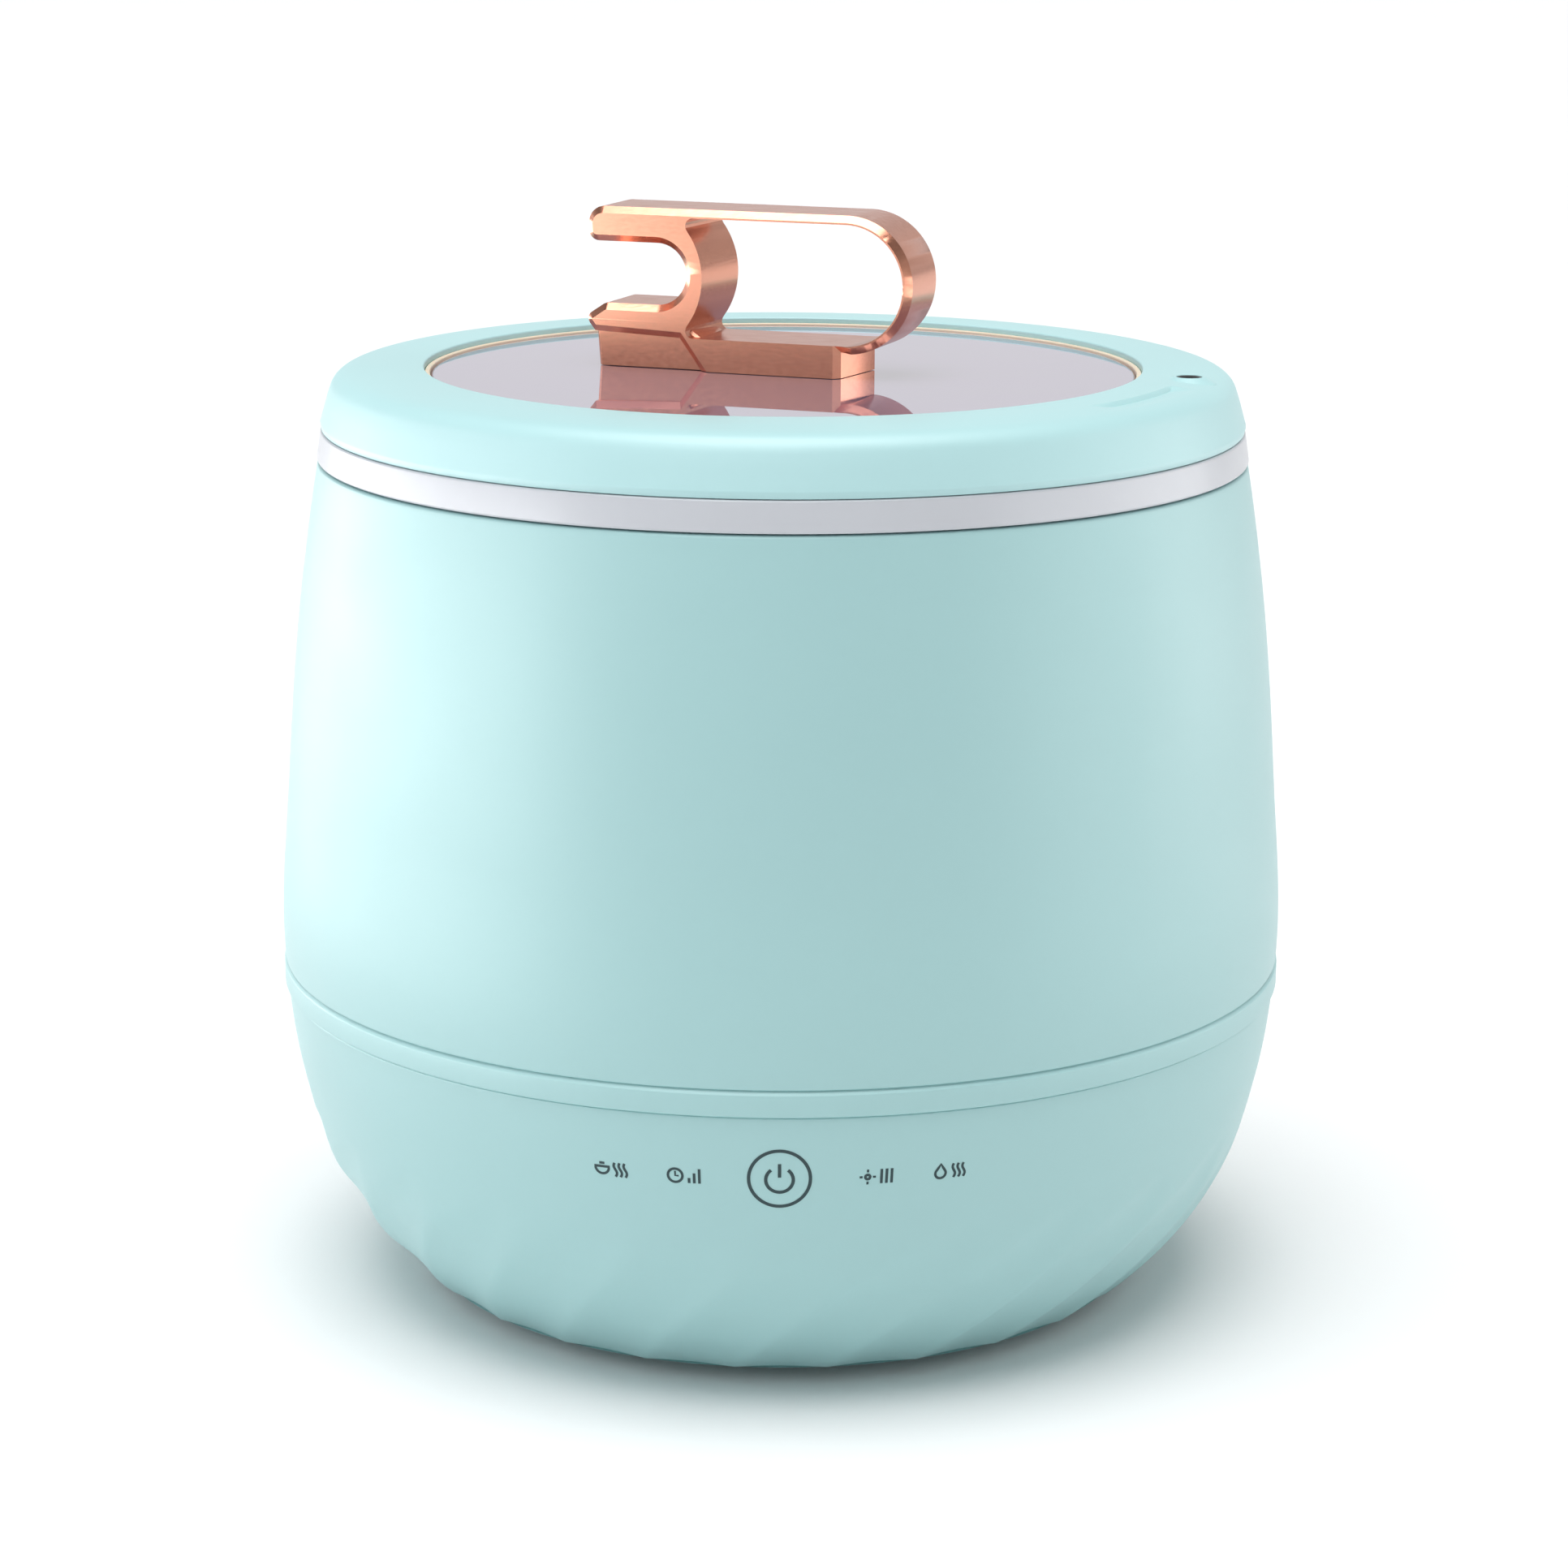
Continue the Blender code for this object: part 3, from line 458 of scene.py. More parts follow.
def white_glaze():
    """Glazed ceramic with soft waves in the glaze and a faintly uneven tone."""
    finish = Finish("white_glaze", ior=1.52)
    finish.color((0.555, 0.573, 0.612), (0.575, 0.596, 0.636), finish.noise(18, 3))
    finish.rough(0.285, 0.35, finish.noise(12, 3))
    finish.bump((finish.noise(9, 2), 0.03))
    return finish.set(Coat_Weight=0.15, Coat_Roughness=0.2).material


def dark_glass():
    """Smoked glass with wiped smears that only show in its gloss."""
    finish = Finish("dark_glass", ior=1.9)
    finish.color((0.29, 0.25, 0.34), (0.32, 0.28, 0.37), finish.noise(45, 2))
    finish.rough(0.01, 0.035, finish.noise(22, 5, finish.stretched((1.0, 2.6, 1.0))))
    finish.bump((finish.noise(60, 1), 0.004))
    return finish.set(Transmission_Weight=0.12, Coat_Weight=1.0, Coat_IOR=2.2,
                      Coat_Roughness=0.01, Coat_Tint=(0.97, 0.92, 1.0, 1.0),
                      Specular_Tint=(0.98, 0.93, 1.0, 1.0)).material


def copper_plate():
    """Rose gold plating over a polished casting with fine lengthwise grain."""
    finish = Finish("copper_plate", metallic=1.0)
    grain = finish.noise(0.5, 3, finish.stretched((0.12, 1.0, 1.0)))
    finish.color((0.69, 0.300, 0.200), (0.74, 0.335, 0.225), finish.noise(9, 3))
    finish.rough(0.19, 0.27, grain)
    finish.bump((grain, 0.0010), (finish.noise(14, 1), 0.002))
    return finish.material


def silicone(name, first, second):
    """Moulded silicone with a powdery, slightly uneven skin."""
    finish = Finish(name, ior=1.42)
    finish.color(first, second, finish.noise(11, 4))
    finish.rough(0.42, 0.60, finish.noise(5, 3))
    finish.bump((finish.noise(0.7, 3), 0.010))
    return finish.set(Subsurface_Weight=0.1, Subsurface_Scale=0.002).material


def textured_plastic(name, first, second, roughness):
    """Moulded plastic with spark-eroded grain."""
    finish = Finish(name)
    finish.color(first, second, finish.noise(14, 4))
    finish.rough(roughness - 0.06, roughness + 0.08, finish.noise(6, 3))
    finish.bump((finish.noise(0.55, 3), 0.018))
    return finish.material


def grey_rubber():
    """Dull rubber with dust in its grain."""
    finish = Finish("grey_rubber", ior=1.45)
    finish.color((0.050, 0.052, 0.055), (0.12, 0.12, 0.12), finish.noise(3, 5))
    finish.rough(0.70, 0.88, finish.noise(2, 3))
    finish.bump((finish.noise(0.4, 3), 0.02))
    return finish.material


def spun_aluminium():
    """Aluminium turned on a lathe, with rings and a few darker heat stains."""
    finish = Finish("spun_aluminium", metallic=1.0)
    rings = finish.noise(0.35, 3, finish.spun())
    finish.color((0.62, 0.63, 0.65), (0.78, 0.79, 0.80), finish.noise(26, 4))
    finish.rough(0.24, 0.42, rings)
    finish.bump((rings, 0.006))
    return finish.set(Anisotropic=0.5).material


def plain_steel():
    """Bright zinc-plated steel with drawn lines and tiny pits."""
    finish = Finish("plain_steel", metallic=1.0)
    finish.color((0.46, 0.47, 0.50), (0.62, 0.63, 0.65), finish.noise(4, 4))
    finish.rough(0.20, 0.38, finish.noise(0.8, 3, finish.stretched((1.0, 1.0, 0.2))))
    finish.bump((finish.noise(0.5, 2), 0.004))
    return finish.material


def circuit_board():
    """Green solder mask with copper areas showing through as paler cells."""
    finish = Finish("circuit_board")
    tracks = finish.ramp(finish.cells(4.5), 0.30, 0.36)
    finish.color((0.03, 0.19, 0.09), (0.015, 0.11, 0.055), tracks)
    finish.rough(0.28, 0.42, finish.noise(3, 3))
    finish.bump((tracks, 0.03))
    return finish.material


def printed_ink():
    """Blackish green printing ink with a slightly uneven density."""
    finish = Finish("printed_ink")
    finish.color((0.008, 0.030, 0.036), (0.018, 0.055, 0.062), finish.noise(0.8, 4))
    finish.rough(0.38, 0.55, finish.noise(0.5, 2))
    finish.bump((finish.noise(0.15, 2), 0.002))
    return finish.material


def floor_paper():
    """Seamless white studio paper with a very faint tooth."""
    finish = Finish("floor_paper")
    finish.color((0.860, 0.860, 0.860), (0.875, 0.875, 0.875), finish.noise(160, 2))
    finish.rough(0.75, 0.85, finish.noise(30, 2))
    return finish.material


MINT = mint_gloss("mint_gloss", (0.360, 0.600, 0.607), (0.372, 0.612, 0.616))
# Painted light: the lid is the same mint plastic as the body, but coloured lighter to stand for
# the extra light that its upward-facing shoulder catches.
LID_MINT_PAINTED_LIGHTER = mint_gloss("lid_mint_painted_lighter", (0.440, 0.700, 0.714), (0.454, 0.713, 0.724))
GLAZE = white_glaze()
GLASS = dark_glass()
COPPER = copper_plate()
TAN = silicone("tan_silicone", (0.74, 0.62, 0.47), (0.82, 0.70, 0.54))
PALE = silicone("pale_silicone", (0.66, 0.67, 0.66), (0.74, 0.74, 0.72))
WHITE = textured_plastic("white_plastic", (0.74, 0.75, 0.75), (0.80, 0.80, 0.79), 0.42)
BLACK = textured_plastic("black_plastic", (0.018, 0.018, 0.020), (0.030, 0.030, 0.032), 0.46)
RUBBER = grey_rubber()
ALUMINIUM = spun_aluminium()
STEEL = plain_steel()
BOARD = circuit_board()
INK = printed_ink()

NODE_FINISHES = {
    "aluminium": ALUMINIUM, "steel": STEEL, "black_plastic": BLACK, "board_green": BOARD,
    "white_plastic": WHITE, "mint_gloss": MINT, "white_glaze": GLAZE, "smoked_glass": GLASS,
    "copper_plate": COPPER, "tan_silicone": TAN, "clear_silicone": PALE, "grey_rubber": RUBBER,
}


def dress(piece, body, material, slot=None, *nodes):
    """Give a piece its material and body, and let it stand for CAD nodes. Its slot is not used."""
    piece.data.materials.clear()
    piece.data.materials.append(material)
    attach(piece, body)
    if nodes:
        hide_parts(*nodes)
    return piece


# ---------------------------------------------------------------- body

BASE_TOP = low("trim_band") - 0.12
SHELL_LOW = top("trim_band") + 0.08


def flute(radius, angle, height):
    """Press leaning scallops into the outer wall; each narrows to a round tip near its top."""
    wall = np.array([body_radius(z) for z in height[:, 0]])[:, None]
    outside = (np.abs(radius - wall) < FLUTE_REACH) & (height < FLUTE_END)
    lean = FLUTE_LEAN * (np.minimum(height, FLUTE_END) - FLUTE_MIDDLE)
    across = 2 * ((angle - lean) * FLUTES / (2 * math.pi) % 1.0) - 1
    rise = np.clip((FLUTE_END - height) / (FLUTE_END - FLUTE_FULL), 0.0, 1.0)
    scoop = np.maximum(rise**0.9 - across**2, 0.0)
    return radius - np.where(outside, FLUTE_DEPTH * scoop, 0.0), angle, height


def lean_grid(radius, angle, height):
    """Let the mesh lines of the base shell follow the flutes, then press the flutes in."""
    turn = FLUTE_LEAN * (np.minimum(height, FLUTE_END) - FLUTE_MIDDLE)
    return flute(radius, angle + turn, height)


def make_base_shell():
    """Lower housing with its flutes, floor ring, screw ledge and locating lip."""
    under = low("base_shell")
    cover = reach("bottom_cover") + 0.3
    seat = top_of_cover() + 0.3
    edge = body_radius(BASE_TOP)
    outer = rounded([(edge - 1.0, BASE_TOP), (edge, BASE_TOP, 0.3),
                     (body_radius(BASE_TOP - 2), BASE_TOP - 2)])[:-1]
    outer += body_line(BASE_TOP - 1.0, FLUTE_END + 0.5, 16) + body_line(FLUTE_END, 5.0, 46)
    outer += rounded([(74.9, 5.0), (73.0, under, 1.6), (70.0, under)])[1:]
    floor = [(cover, under), (cover, seat), (56.5, seat), (56.5, seat + 3.6), (64.4, seat + 3.6),
             (64.4, seat + 0.3), (72.0, seat + 0.3)]
    inner = body_line(12, 58, 9, BASE_WALL)
    lip = [(95.2, 59.0), (95.2, top("base_shell")), (97.0, top("base_shell")), (97.0, BASE_TOP)]
    shell = turned("base_shell_skin", outer + floor + inner + lip, FLUTES * 12, reshape=lean_grid)
    tools = []
    for number in range(1, 5):
        tools.append(rod("screw_hole", 1.8, 0, 12, middle(f"cover_screw_{number}")))
    size, centre = span("power_inlet")
    tools.append(block("window", (size[0] + 0.6, 40.0, size[2] + 0.6), (0.0, 98.0, centre[2])))
    cut(shell, *tools)
    dress(shell, "base", MINT, "mint_gloss", "base_shell")


def top_of_cover():
    """Height of the bottom cover's plate, under its posts."""
    return low("bottom_cover") + 2.0


def make_trim_band():
    """Band between the housings, with the light upward bevel that catches the lamp."""
    under, over, face = low("trim_band"), top("trim_band"), reach("trim_band")
    band = turned("trim_band_skin", rounded([
        (97.9, over), (face - 0.75, over, 0.15), (face, over - 0.85, 0.3),
        (face, under + 0.3, 0.3), (face - 0.45, under, 0.12), (97.9, under)], 3))
    dress(band, "base", MINT, "mint_gloss", "trim_band")


def make_outer_shell():
    """Upper housing, turned in at the top where the crock's rim rests."""
    over = top("outer_shell")
    edge = body_radius(over)
    outer = rounded([(84.6, over, 0.3), (edge, over, 0.7), (body_radius(over - 2), over - 2)])[:-1]
    outer += body_line(over - 1.2, SHELL_LOW + 0.5, 64)
    outer += rounded([(body_radius(SHELL_LOW + 1), SHELL_LOW + 1),
                      (body_radius(SHELL_LOW), SHELL_LOW, 0.25), (97.0, SHELL_LOW)])[1:-1]
    inner = body_line(SHELL_LOW, over - SHELL_WALL, 24, SHELL_WALL)
    shell = turned("outer_shell_skin", outer + inner + [(84.6, over - SHELL_WALL)])
    dress(shell, "base", MINT, "mint_gloss", "outer_shell")


def mark_point(across, up):
    """Place on the body's skin, from a distance across and a height above the marks' line."""
    height = MARK_HEIGHT + up
    angle = across / body_radius(MARK_HEIGHT)
    radius = body_radius(height) + INK_LIFT
    return (radius * math.sin(angle) * MM, -radius * math.cos(angle) * MM, height * MM)


def stroke(shape, points, width, closed=False):
    """Add a printed line of that width through (across, up) points to a mesh."""
    count = len(points)
    rows = []
    for index, (x, y) in enumerate(points):
        before = points[index - 1] if closed or index else points[0]
        after = points[(index + 1) % count] if closed or index < count - 1 else points[-1]
        dx, dy = after[0] - before[0], after[1] - before[1]
        length = math.hypot(dx, dy)
        nx, ny = -dy / length * width / 2, dx / length * width / 2
        rows.append([shape.verts.new(mark_point(x + nx, y + ny)),
                     shape.verts.new(mark_point(x - nx, y - ny))])
    for index in range(count if closed else count - 1):
        here, after = rows[index], rows[(index + 1) % count]
        shape.faces.new((here[0], here[1], after[1], after[0]))


def print_mark(name, strokes):
    """Turn (points, width, closed) strokes into a thin printed piece."""
    shape = bmesh.new()
    for points, width, closed in strokes:
        stroke(shape, points, width, closed)
    mesh = bpy.data.meshes.new(name)
    shape.to_mesh(mesh)
    shape.free()
    mark = add_piece(name, mesh)
    thick = mark.modifiers.new("Ink", "SOLIDIFY")
    thick.thickness = INK_THICKNESS * MM
    thick.offset = 0.0
    dress(bake(mark), "base", INK)


def shifted(points, across, up=0.0):
    """Move points across and up."""
    return [(x + across, y + up) for x, y in points]


def line(start, end, steps=3):
    """Points from start to end."""
    return [(start[0] + (end[0] - start[0]) * step / steps,
             start[1] + (end[1] - start[1]) * step / steps) for step in range(steps + 1)]


def bowl_icon(at):
    """A bowl with a lid knob."""
    return [(shifted(arc((0, 0.3), 1.3, 180, 360, 12), at), MARK_LINE, False),
            (shifted(line((-1.5, 0.45), (1.5, 0.45)), at), MARK_LINE, False),
            (shifted(line((-0.5, 1.15), (0.5, 1.15)), at), MARK_LINE, False)]


def steam_icon(at):
    """Three wisps of steam."""
    wisp = [(0.28 * math.sin(step / 2), -1.4 + 2.8 * step / 12) for step in range(13)]
    return [(shifted(wisp, at + offset), MARK_LINE, False) for offset in (-0.95, 0.0, 0.95)]


def clock_icon(at):
    """A clock face with two hands."""
    return [(shifted(arc((0, 0), 1.35, 0, 345, 23), at), MARK_LINE, True),
            (shifted([(0.0, 0.9), (0.0, -0.05), (0.65, -0.05)], at), HAND_LINE, False)]


def bars_icon(at, heights):
    """Three upright bars of those heights."""
    bars = []
    for index, height in enumerate(heights):
        across = BAR_SPACE * index - BAR_SPACE
        bar = line((across, BAR_FOOT), (across, BAR_FOOT + height))
        bars.append((shifted(bar, at), MARK_BOLD, False))
    return bars


def drop_icon(at):
    """A drop."""
    side = [(0.0, 1.5), (0.45, 0.75)]
    curve = arc((0, -0.35), 1.0, 25, -205, 14)
    return [(shifted(side + curve + [(-0.45, 0.75)], at), MARK_LINE, True)]


def sun_icon(at):
    """A warm sun with four rays."""
    rays = [(shifted([(0.95 * math.cos(a), 0.95 * math.sin(a)),
                      (1.5 * math.cos(a), 1.5 * math.sin(a))], at), RAY_LINE, False)
            for a in (0.0, math.pi / 2, math.pi, -math.pi / 2)]
    return [(shifted(arc((0, 0), 0.45, 0, 330, 11), at), MARK_BOLD, True)] + rays


def make_marks():
    """A ringed power symbol in the middle, and two pairs of pictograms on each side of it."""
    radius, width = MARK_RING
    power = [(arc((0, 0), radius, 0, 355, 71), width, True),
             (arc((0, -0.2), 2.5, 128, 412, 30), width, False),
             (line((0, 0.3), (0, 3.0)), width, False)]
    print_mark("mark_power", power)
    scale = body_radius(MARK_HEIGHT)
    places = [math.radians(angle) * scale for angle in MARK_ANGLES]
    left = [place - ICON_SHIFT for place in places]
    right = [place + ICON_SHIFT for place in places]
    print_mark("mark_stew", bowl_icon(left[0]) + steam_icon(right[0]))
    print_mark("mark_timer", clock_icon(left[1]) + bars_icon(right[1], (1, 2, BAR_FULL)))
    print_mark("mark_warm", sun_icon(left[2]) + bars_icon(right[2], [BAR_FULL] * 3))
    print_mark("mark_soup", drop_icon(left[3]) + steam_icon(right[3]))


# ---------------------------------------------------------------- underside and back

def make_feet_and_screws():
    """Rubber feet with a grooved sole, and pan-head screws with a cross recess."""
    for number in range(1, 5):
        foot, screw = f"foot_{number}", f"cover_screw_{number}"
        over = low("base_shell") - 0.15
        profile = rounded([(0, over + 2.5), (1.9, over + 2.5), (1.9, over), (4.8, over, 0.3),
                           (4.4, 0.0, 0.7), (3.0, 0.0), (2.7, 0.4), (2.0, 0.4), (1.7, 0.0),
                           (0, 0.0)])
        piece = turned(f"{foot}_pad", profile, SMALL_ROUND, middle(foot))
        dress(piece, "base", RUBBER, "grey_rubber", foot)
        place = middle(screw)
        over = low("bottom_cover") - 0.05
        profile = rounded([(0, top(screw)), (1.4, top(screw)), (1.4, over), (2.8, over, 0.15),
                           (2.8, over - 1.2, 0.7), (0, low(screw))])
        piece = turned(f"{screw}_head", profile, SMALL_ROUND, place)
        under = low(screw)
        cut(piece, block("slot_a", (3.2, 0.6, 1.2), (*place, under)),
            block("slot_b", (0.6, 3.2, 1.2), (*place, under)))
        dress(piece, "base", STEEL, "steel", screw)


def make_inlet():
    """Mains socket with rounded edges, a deep mouth and three pins."""
    size, centre = span("power_inlet")
    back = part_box("power_inlet")[0].y / MM
    socket = block("power_inlet_body", size, centre, 0.8)
    cavity = block("cavity", (size[0] - 4, size[1], size[2] - 4),
                   (centre[0], centre[1] + 2, centre[2]), 1.2)
    holes = []
    for number in range(1, 4):
        pin_size, pin_centre = span(f"inlet_pin_{number}")
        pin = block(f"inlet_blade_{number}", pin_size, pin_centre, 0.35)
        dress(pin, "base", STEEL, "steel", f"inlet_pin_{number}")
        holes.append(block("pin_hole", (pin_size[0] + 0.3, 8.0, pin_size[2] + 0.3),
                           (pin_centre[0], back, pin_centre[2])))
    cut(socket, cavity, *holes)
    dress(socket, "base", BLACK, "black_plastic", "power_inlet")


# ---------------------------------------------------------------- crock and liner

def make_crock():
    """Glazed pot with a round rim, a gently tapering wall and a wide fillet to the floor."""
    floor, over = low("crock"), top("crock")
    rim_low = top("outer_shell") + 0.3
    wall = rounded([(0, floor + 6), (74.0, floor + 6, 14.0), (77.0, over, 1.6),
                    (90.6, over, 0.5), (reach("crock"), rim_low, 0.5), (84.2, rim_low, 0.8),
                    (83.0, rim_low - 2.0, 1.2), (79.5, floor, 17.0), (74.0, floor, 0.8),
                    (73.0, floor + 0.8), (0, floor + 0.8)], 10)
    dress(turned("crock_pot", wall), "crock", GLAZE, "white_glaze", "crock")


def make_liner():
    """Spun aluminium pot with a flat rolled edge and a hole for the sensor in its floor."""
    under, over = low("inner_liner"), top("inner_liner")
    hole = 12.5
    wall = rounded([(84.0, over, 0.5), (88.8, over, 0.25), (88.8, over - 0.8, 0.25),
                    (84.8, over - 0.8, 0.4), (84.8, under, 3.4), (hole, under),
                    (hole, under + 1.2), (84.0, under + 1.2, 2.4)], 8)
    dress(turned("liner_pot", wall), "base", ALUMINIUM, "aluminium", "inner_liner")


def make_sensor():
    """Sprung sensor cap with a rounded crown."""
    under, over, edge = low("sensor_cap"), top("sensor_cap"), reach("sensor_cap")
    wall = 1.2
    cap = turned("sensor_cap_shell", rounded([
        (0, over), (edge, over, 1.6), (edge, under, 0.3), (edge - wall, under, 0.3),
        (edge - wall, over - wall, 0.6), (0, over - wall)], 6), 96)
    dress(cap, "sensor", ALUMINIUM, "aluminium", "sensor_cap")


def make_sensor_spring():
    """Coil spring between the bracket and the cap. The real spring shortens as the cap goes down;
    this mesh keeps one length.
    """
    steps, sides = 28, 10
    first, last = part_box("sensor_spring")
    length = last.z - first.z
    part = np.linspace(0.0, 1.0, int(SPRING_TURNS * steps) + 1)[:, None]
    turn = part * SPRING_TURNS * 2 * math.pi
    side = np.arange(sides)[None, :] * (2 * math.pi / sides)
    radius = reach("sensor_spring") - SPRING_WIRE + SPRING_WIRE * np.cos(side)
    rise = low("sensor_spring") + SPRING_WIRE + part * (length / MM - 2 * SPRING_WIRE)
    points = np.stack([radius * np.cos(turn), radius * np.sin(turn),
                       rise + SPRING_WIRE * np.sin(side)], 2)
    rings = [[ring * sides + corner for corner in range(sides)] for ring in range(len(part))]
    faces = [rings[0][::-1], rings[-1]]
    for here, after in zip(rings[:-1], rings[1:]):
        faces += [(here[k], here[(k + 1) % sides], after[(k + 1) % sides], after[k])
                  for k in range(sides)]
    mesh = bpy.data.meshes.new("spring_coil")
    mesh.from_pydata((points.reshape(-1, 3) * MM).tolist(), [], faces)
    spring = dress(add_piece("spring_coil", mesh), "base", STEEL, "steel", "sensor_spring")
    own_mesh(spring)


# ---------------------------------------------------------------- lid

def spoon_rest(radius, angle, height):
    """Press a shallow rest into the top of the ring: a crisp drop that rises gently outwards."""
    first, last, edge, depth = SPOON_REST
    across = (np.degrees(angle) + 180) % 360 - 180
    right = np.clip((last - across) / REST_RIGHT, 0.0, 1.0)
    left = np.clip((across - first) / REST_LEFT, 0.0, 1.0)
    drop = np.clip((radius - edge) / REST_DROP, 0.0, 1.0)
    rise = np.clip((edge + REST_DROP + REST_RISE - radius) / REST_RISE, 0.0, 1.0)
    scoop = depth * right * left * left * (3 - 2 * left) * drop * rise
    on_top = height > top("lid_ring") - CROWN_SKIN
    return radius, angle, np.where(on_top, height - scoop, height)


def make_lid_ring():
    """Mint ring of the lid with its round shoulder, spoon rest, vent rim and ledge."""
    over, under, edge = top("lid_ring"), top("crock") + 0.15, reach("lid_ring")
    inner = 70.3
    crown = smooth_line([(72.0, over), (75.5, over), (79.0, over - 0.1), (82.0, over - 0.35)], 9)
    shoulder = smooth_line([(82.0, over - 0.35), (84.6, over - 0.7), (86.6, over - 1.4),
                            (88.1, over - 2.8), (89.0, over - 5.0), (89.9, over - 8.0),
                            (edge - 0.05, over - 10.6)], 6)[1:]
    lower = rounded([(edge, over - 10.6), (edge - 0.3, under, 0.2), (88.6, under, 0.3),
                     (86.8, over - 4.2)])[1:]
    hole = rounded([(inner, over - 1.8), (inner, over, 0.35), (inner + 0.8, over)], 5)[:-1]
    underside = [(85.2, over - 3.0), (73.3, over - 3.0), (73.3, over - 8.4),
                 (65.0, over - 8.4), (65.0, over - 6.1), (inner, over - 6.1)]
    ring = turned("lid_ring_skin", hole + crown + shoulder + lower + underside, RING_ROUND,
                  reshape=spoon_rest)
    place = middle("vent_bushing")
    cut(ring, rod("vent_hole", VENT_HOLE, over - 6, over + 2, place))
    # The ring and its vent rim take the lid mint, which is painted lighter than the body's mint to
    # stand for the extra light on the lid.
    dress(ring, "lid", LID_MINT_PAINTED_LIGHTER, "mint_gloss", "lid_ring")
    rim = turned("vent_rim", rounded([
        (2.5, over + 0.4, 0.1), (3.0, over + 0.5, 0.4), (5.2, over - 0.8), (5.2, over - 1.6),
        (2.5, over - 1.6)], 6), SMALL_ROUND, place)
    dress(rim, "lid", LID_MINT_PAINTED_LIGHTER, "mint_gloss")
    bushing = turned("vent_tube", rounded([
        (1.9, over + 0.3, 0.15), (2.45, over + 0.3, 0.15), (2.45, low("vent_bushing")),
        (1.9, low("vent_bushing"))]), SMALL_ROUND, place)
    dress(bushing, "lid", RUBBER, "grey_rubber", "vent_bushing")


def make_glass():
    """Polished glass disc with ground edges and two screw holes, in a silicone gasket."""
    under, over, edge = low("lid_glass"), top("lid_glass") - GLASS_SINK, reach("lid_glass")
    flat = edge - 0.9           # a ring of points here keeps the shading of the faces flat
    glass = turned("glass_disc", rounded([
        (0, over), (flat, over), (edge, over, 0.6), (edge, under, 0.6), (flat, under),
        (0, under)], 4))
    cut(glass, *[rod("glass_hole", 2.6, under - 2, over + 2, middle(f"handle_screw_{number}"))
                 for number in (1, 2)])
    dress(glass, "lid", GLASS, "smoked_glass", "lid_glass")
    foot, outside = low("glass_gasket"), reach("glass_gasket")
    crown = top("glass_gasket") - GLASS_SINK
    gasket = turned("gasket_ring", rounded([
        (outside - 0.85, crown, 0.3), (outside + 0.15, crown, 0.2), (outside + 0.15, foot),
        (65.4, foot), (65.4, under - 0.1, 0.3), (outside - 0.85, under - 0.1)]))
    dress(gasket, "lid", TAN, "tan_silicone", "glass_gasket")


def make_lid_underside():
    """White underside ring with its locating skirt, and the silicone lip that seals the crock."""
    over, tip, edge = top("lid_bottom_ring"), low("lid_bottom_ring"), reach("lid_bottom_ring")
    rest = top("crock") + 0.3
    ring = turned("lid_under_ring", rounded([
        (66.0, over, 0.5), (edge - 0.1, over, 0.3), (edge, rest, 0.4), (74.4, rest, 0.6),
        (74.4, tip, 0.7), (72.8, tip, 0.7), (72.8, rest, 0.8), (66.0, rest, 0.6)]))
    cut(ring, rod("steam_hole", 2.0, rest - 1, over + 1,
                  on_circle(69.4, math.atan2(*middle("vent_bushing")[::-1]))))
    dress(ring, "lid", WHITE, "white_plastic", "lid_bottom_ring")
    under, over, edge = low("lid_seal"), top("lid_seal"), reach("lid_seal")
    seal = turned("seal_lip", rounded([
        (74.5, over, 0.2), (75.3, over, 0.3), (edge, over - 1.0, 0.35), (75.5, under, 0.3),
        (74.5, under, 0.2)]))
    dress(seal, "lid", PALE, "clear_silicone", "lid_seal")


def handle_outline():
    """Outer line of the casting above its undercut foot: hook on the left, loop on the right."""
    hook_low, hook_high = HOOK_CENTRE[1] - HOOK_RADIUS, HOOK_CENTRE[1] + HOOK_RADIUS
    end, height, _ = FOOT_UNDERCUT
    bottom = FOOT_DROP - FOOT_SPARE
    left = rounded([(end + 6.0, bottom), (end + 4.5, FOOT_DROP), (end, height),
                    (-36.9, height + 0.7), (-39.05, 8.9, 1.5), (-34.6, hook_low, 2.0),
                    (HOOK_CENTRE[0], hook_low)], 6)[:-1]
    hook = arc(HOOK_CENTRE, HOOK_RADIUS, -90, 90, 36)
    arm = rounded([(HOOK_CENTRE[0], hook_high), (-38.1, hook_high, 2.2),
                   (-38.1, HANDLE_HEIGHT, 3.4), (LOOP_CENTRE[0], HANDLE_HEIGHT)], 8)[1:-1]
    loop = arc(LOOP_CENTRE, LOOP_RADIUS + LOOP_STRIP, 90, -86, 60)
    return left + hook + arm + loop + [(14.5, 4.4), (14.5, bottom)]


def foot_outline():
    """The narrower foot below the hook."""
    end, height, _ = FOOT_UNDERCUT
    bottom = FOOT_DROP - FOOT_SPARE
    return [(-36.1, bottom), (-36.3, FOOT_DROP), (-36.9, height + 1.5), (end + 2.0, height + 1.5),
            (end + 7.0, height - 2.0), (end + 7.0, bottom)]


def loop_outline():
    """The finger opening: a bowed web on the left and a half circle on the right."""
    web_x, web_y, web_radius, spread = WEB_ARC
    web = arc((web_x, web_y), web_radius, spread, -spread, 24)
    under, over = LOOP_CENTRE[1] - LOOP_RADIUS, LOOP_CENTRE[1] + LOOP_RADIUS
    corner = web[0][0] - (over - web[0][1]) * math.tan(math.radians(spread))
    right = arc(LOOP_CENTRE, LOOP_RADIUS, -90, 90, 60)
    return rounded([(corner, over, 1.5)] + web + [(corner, under, 1.5)] + right, 6)


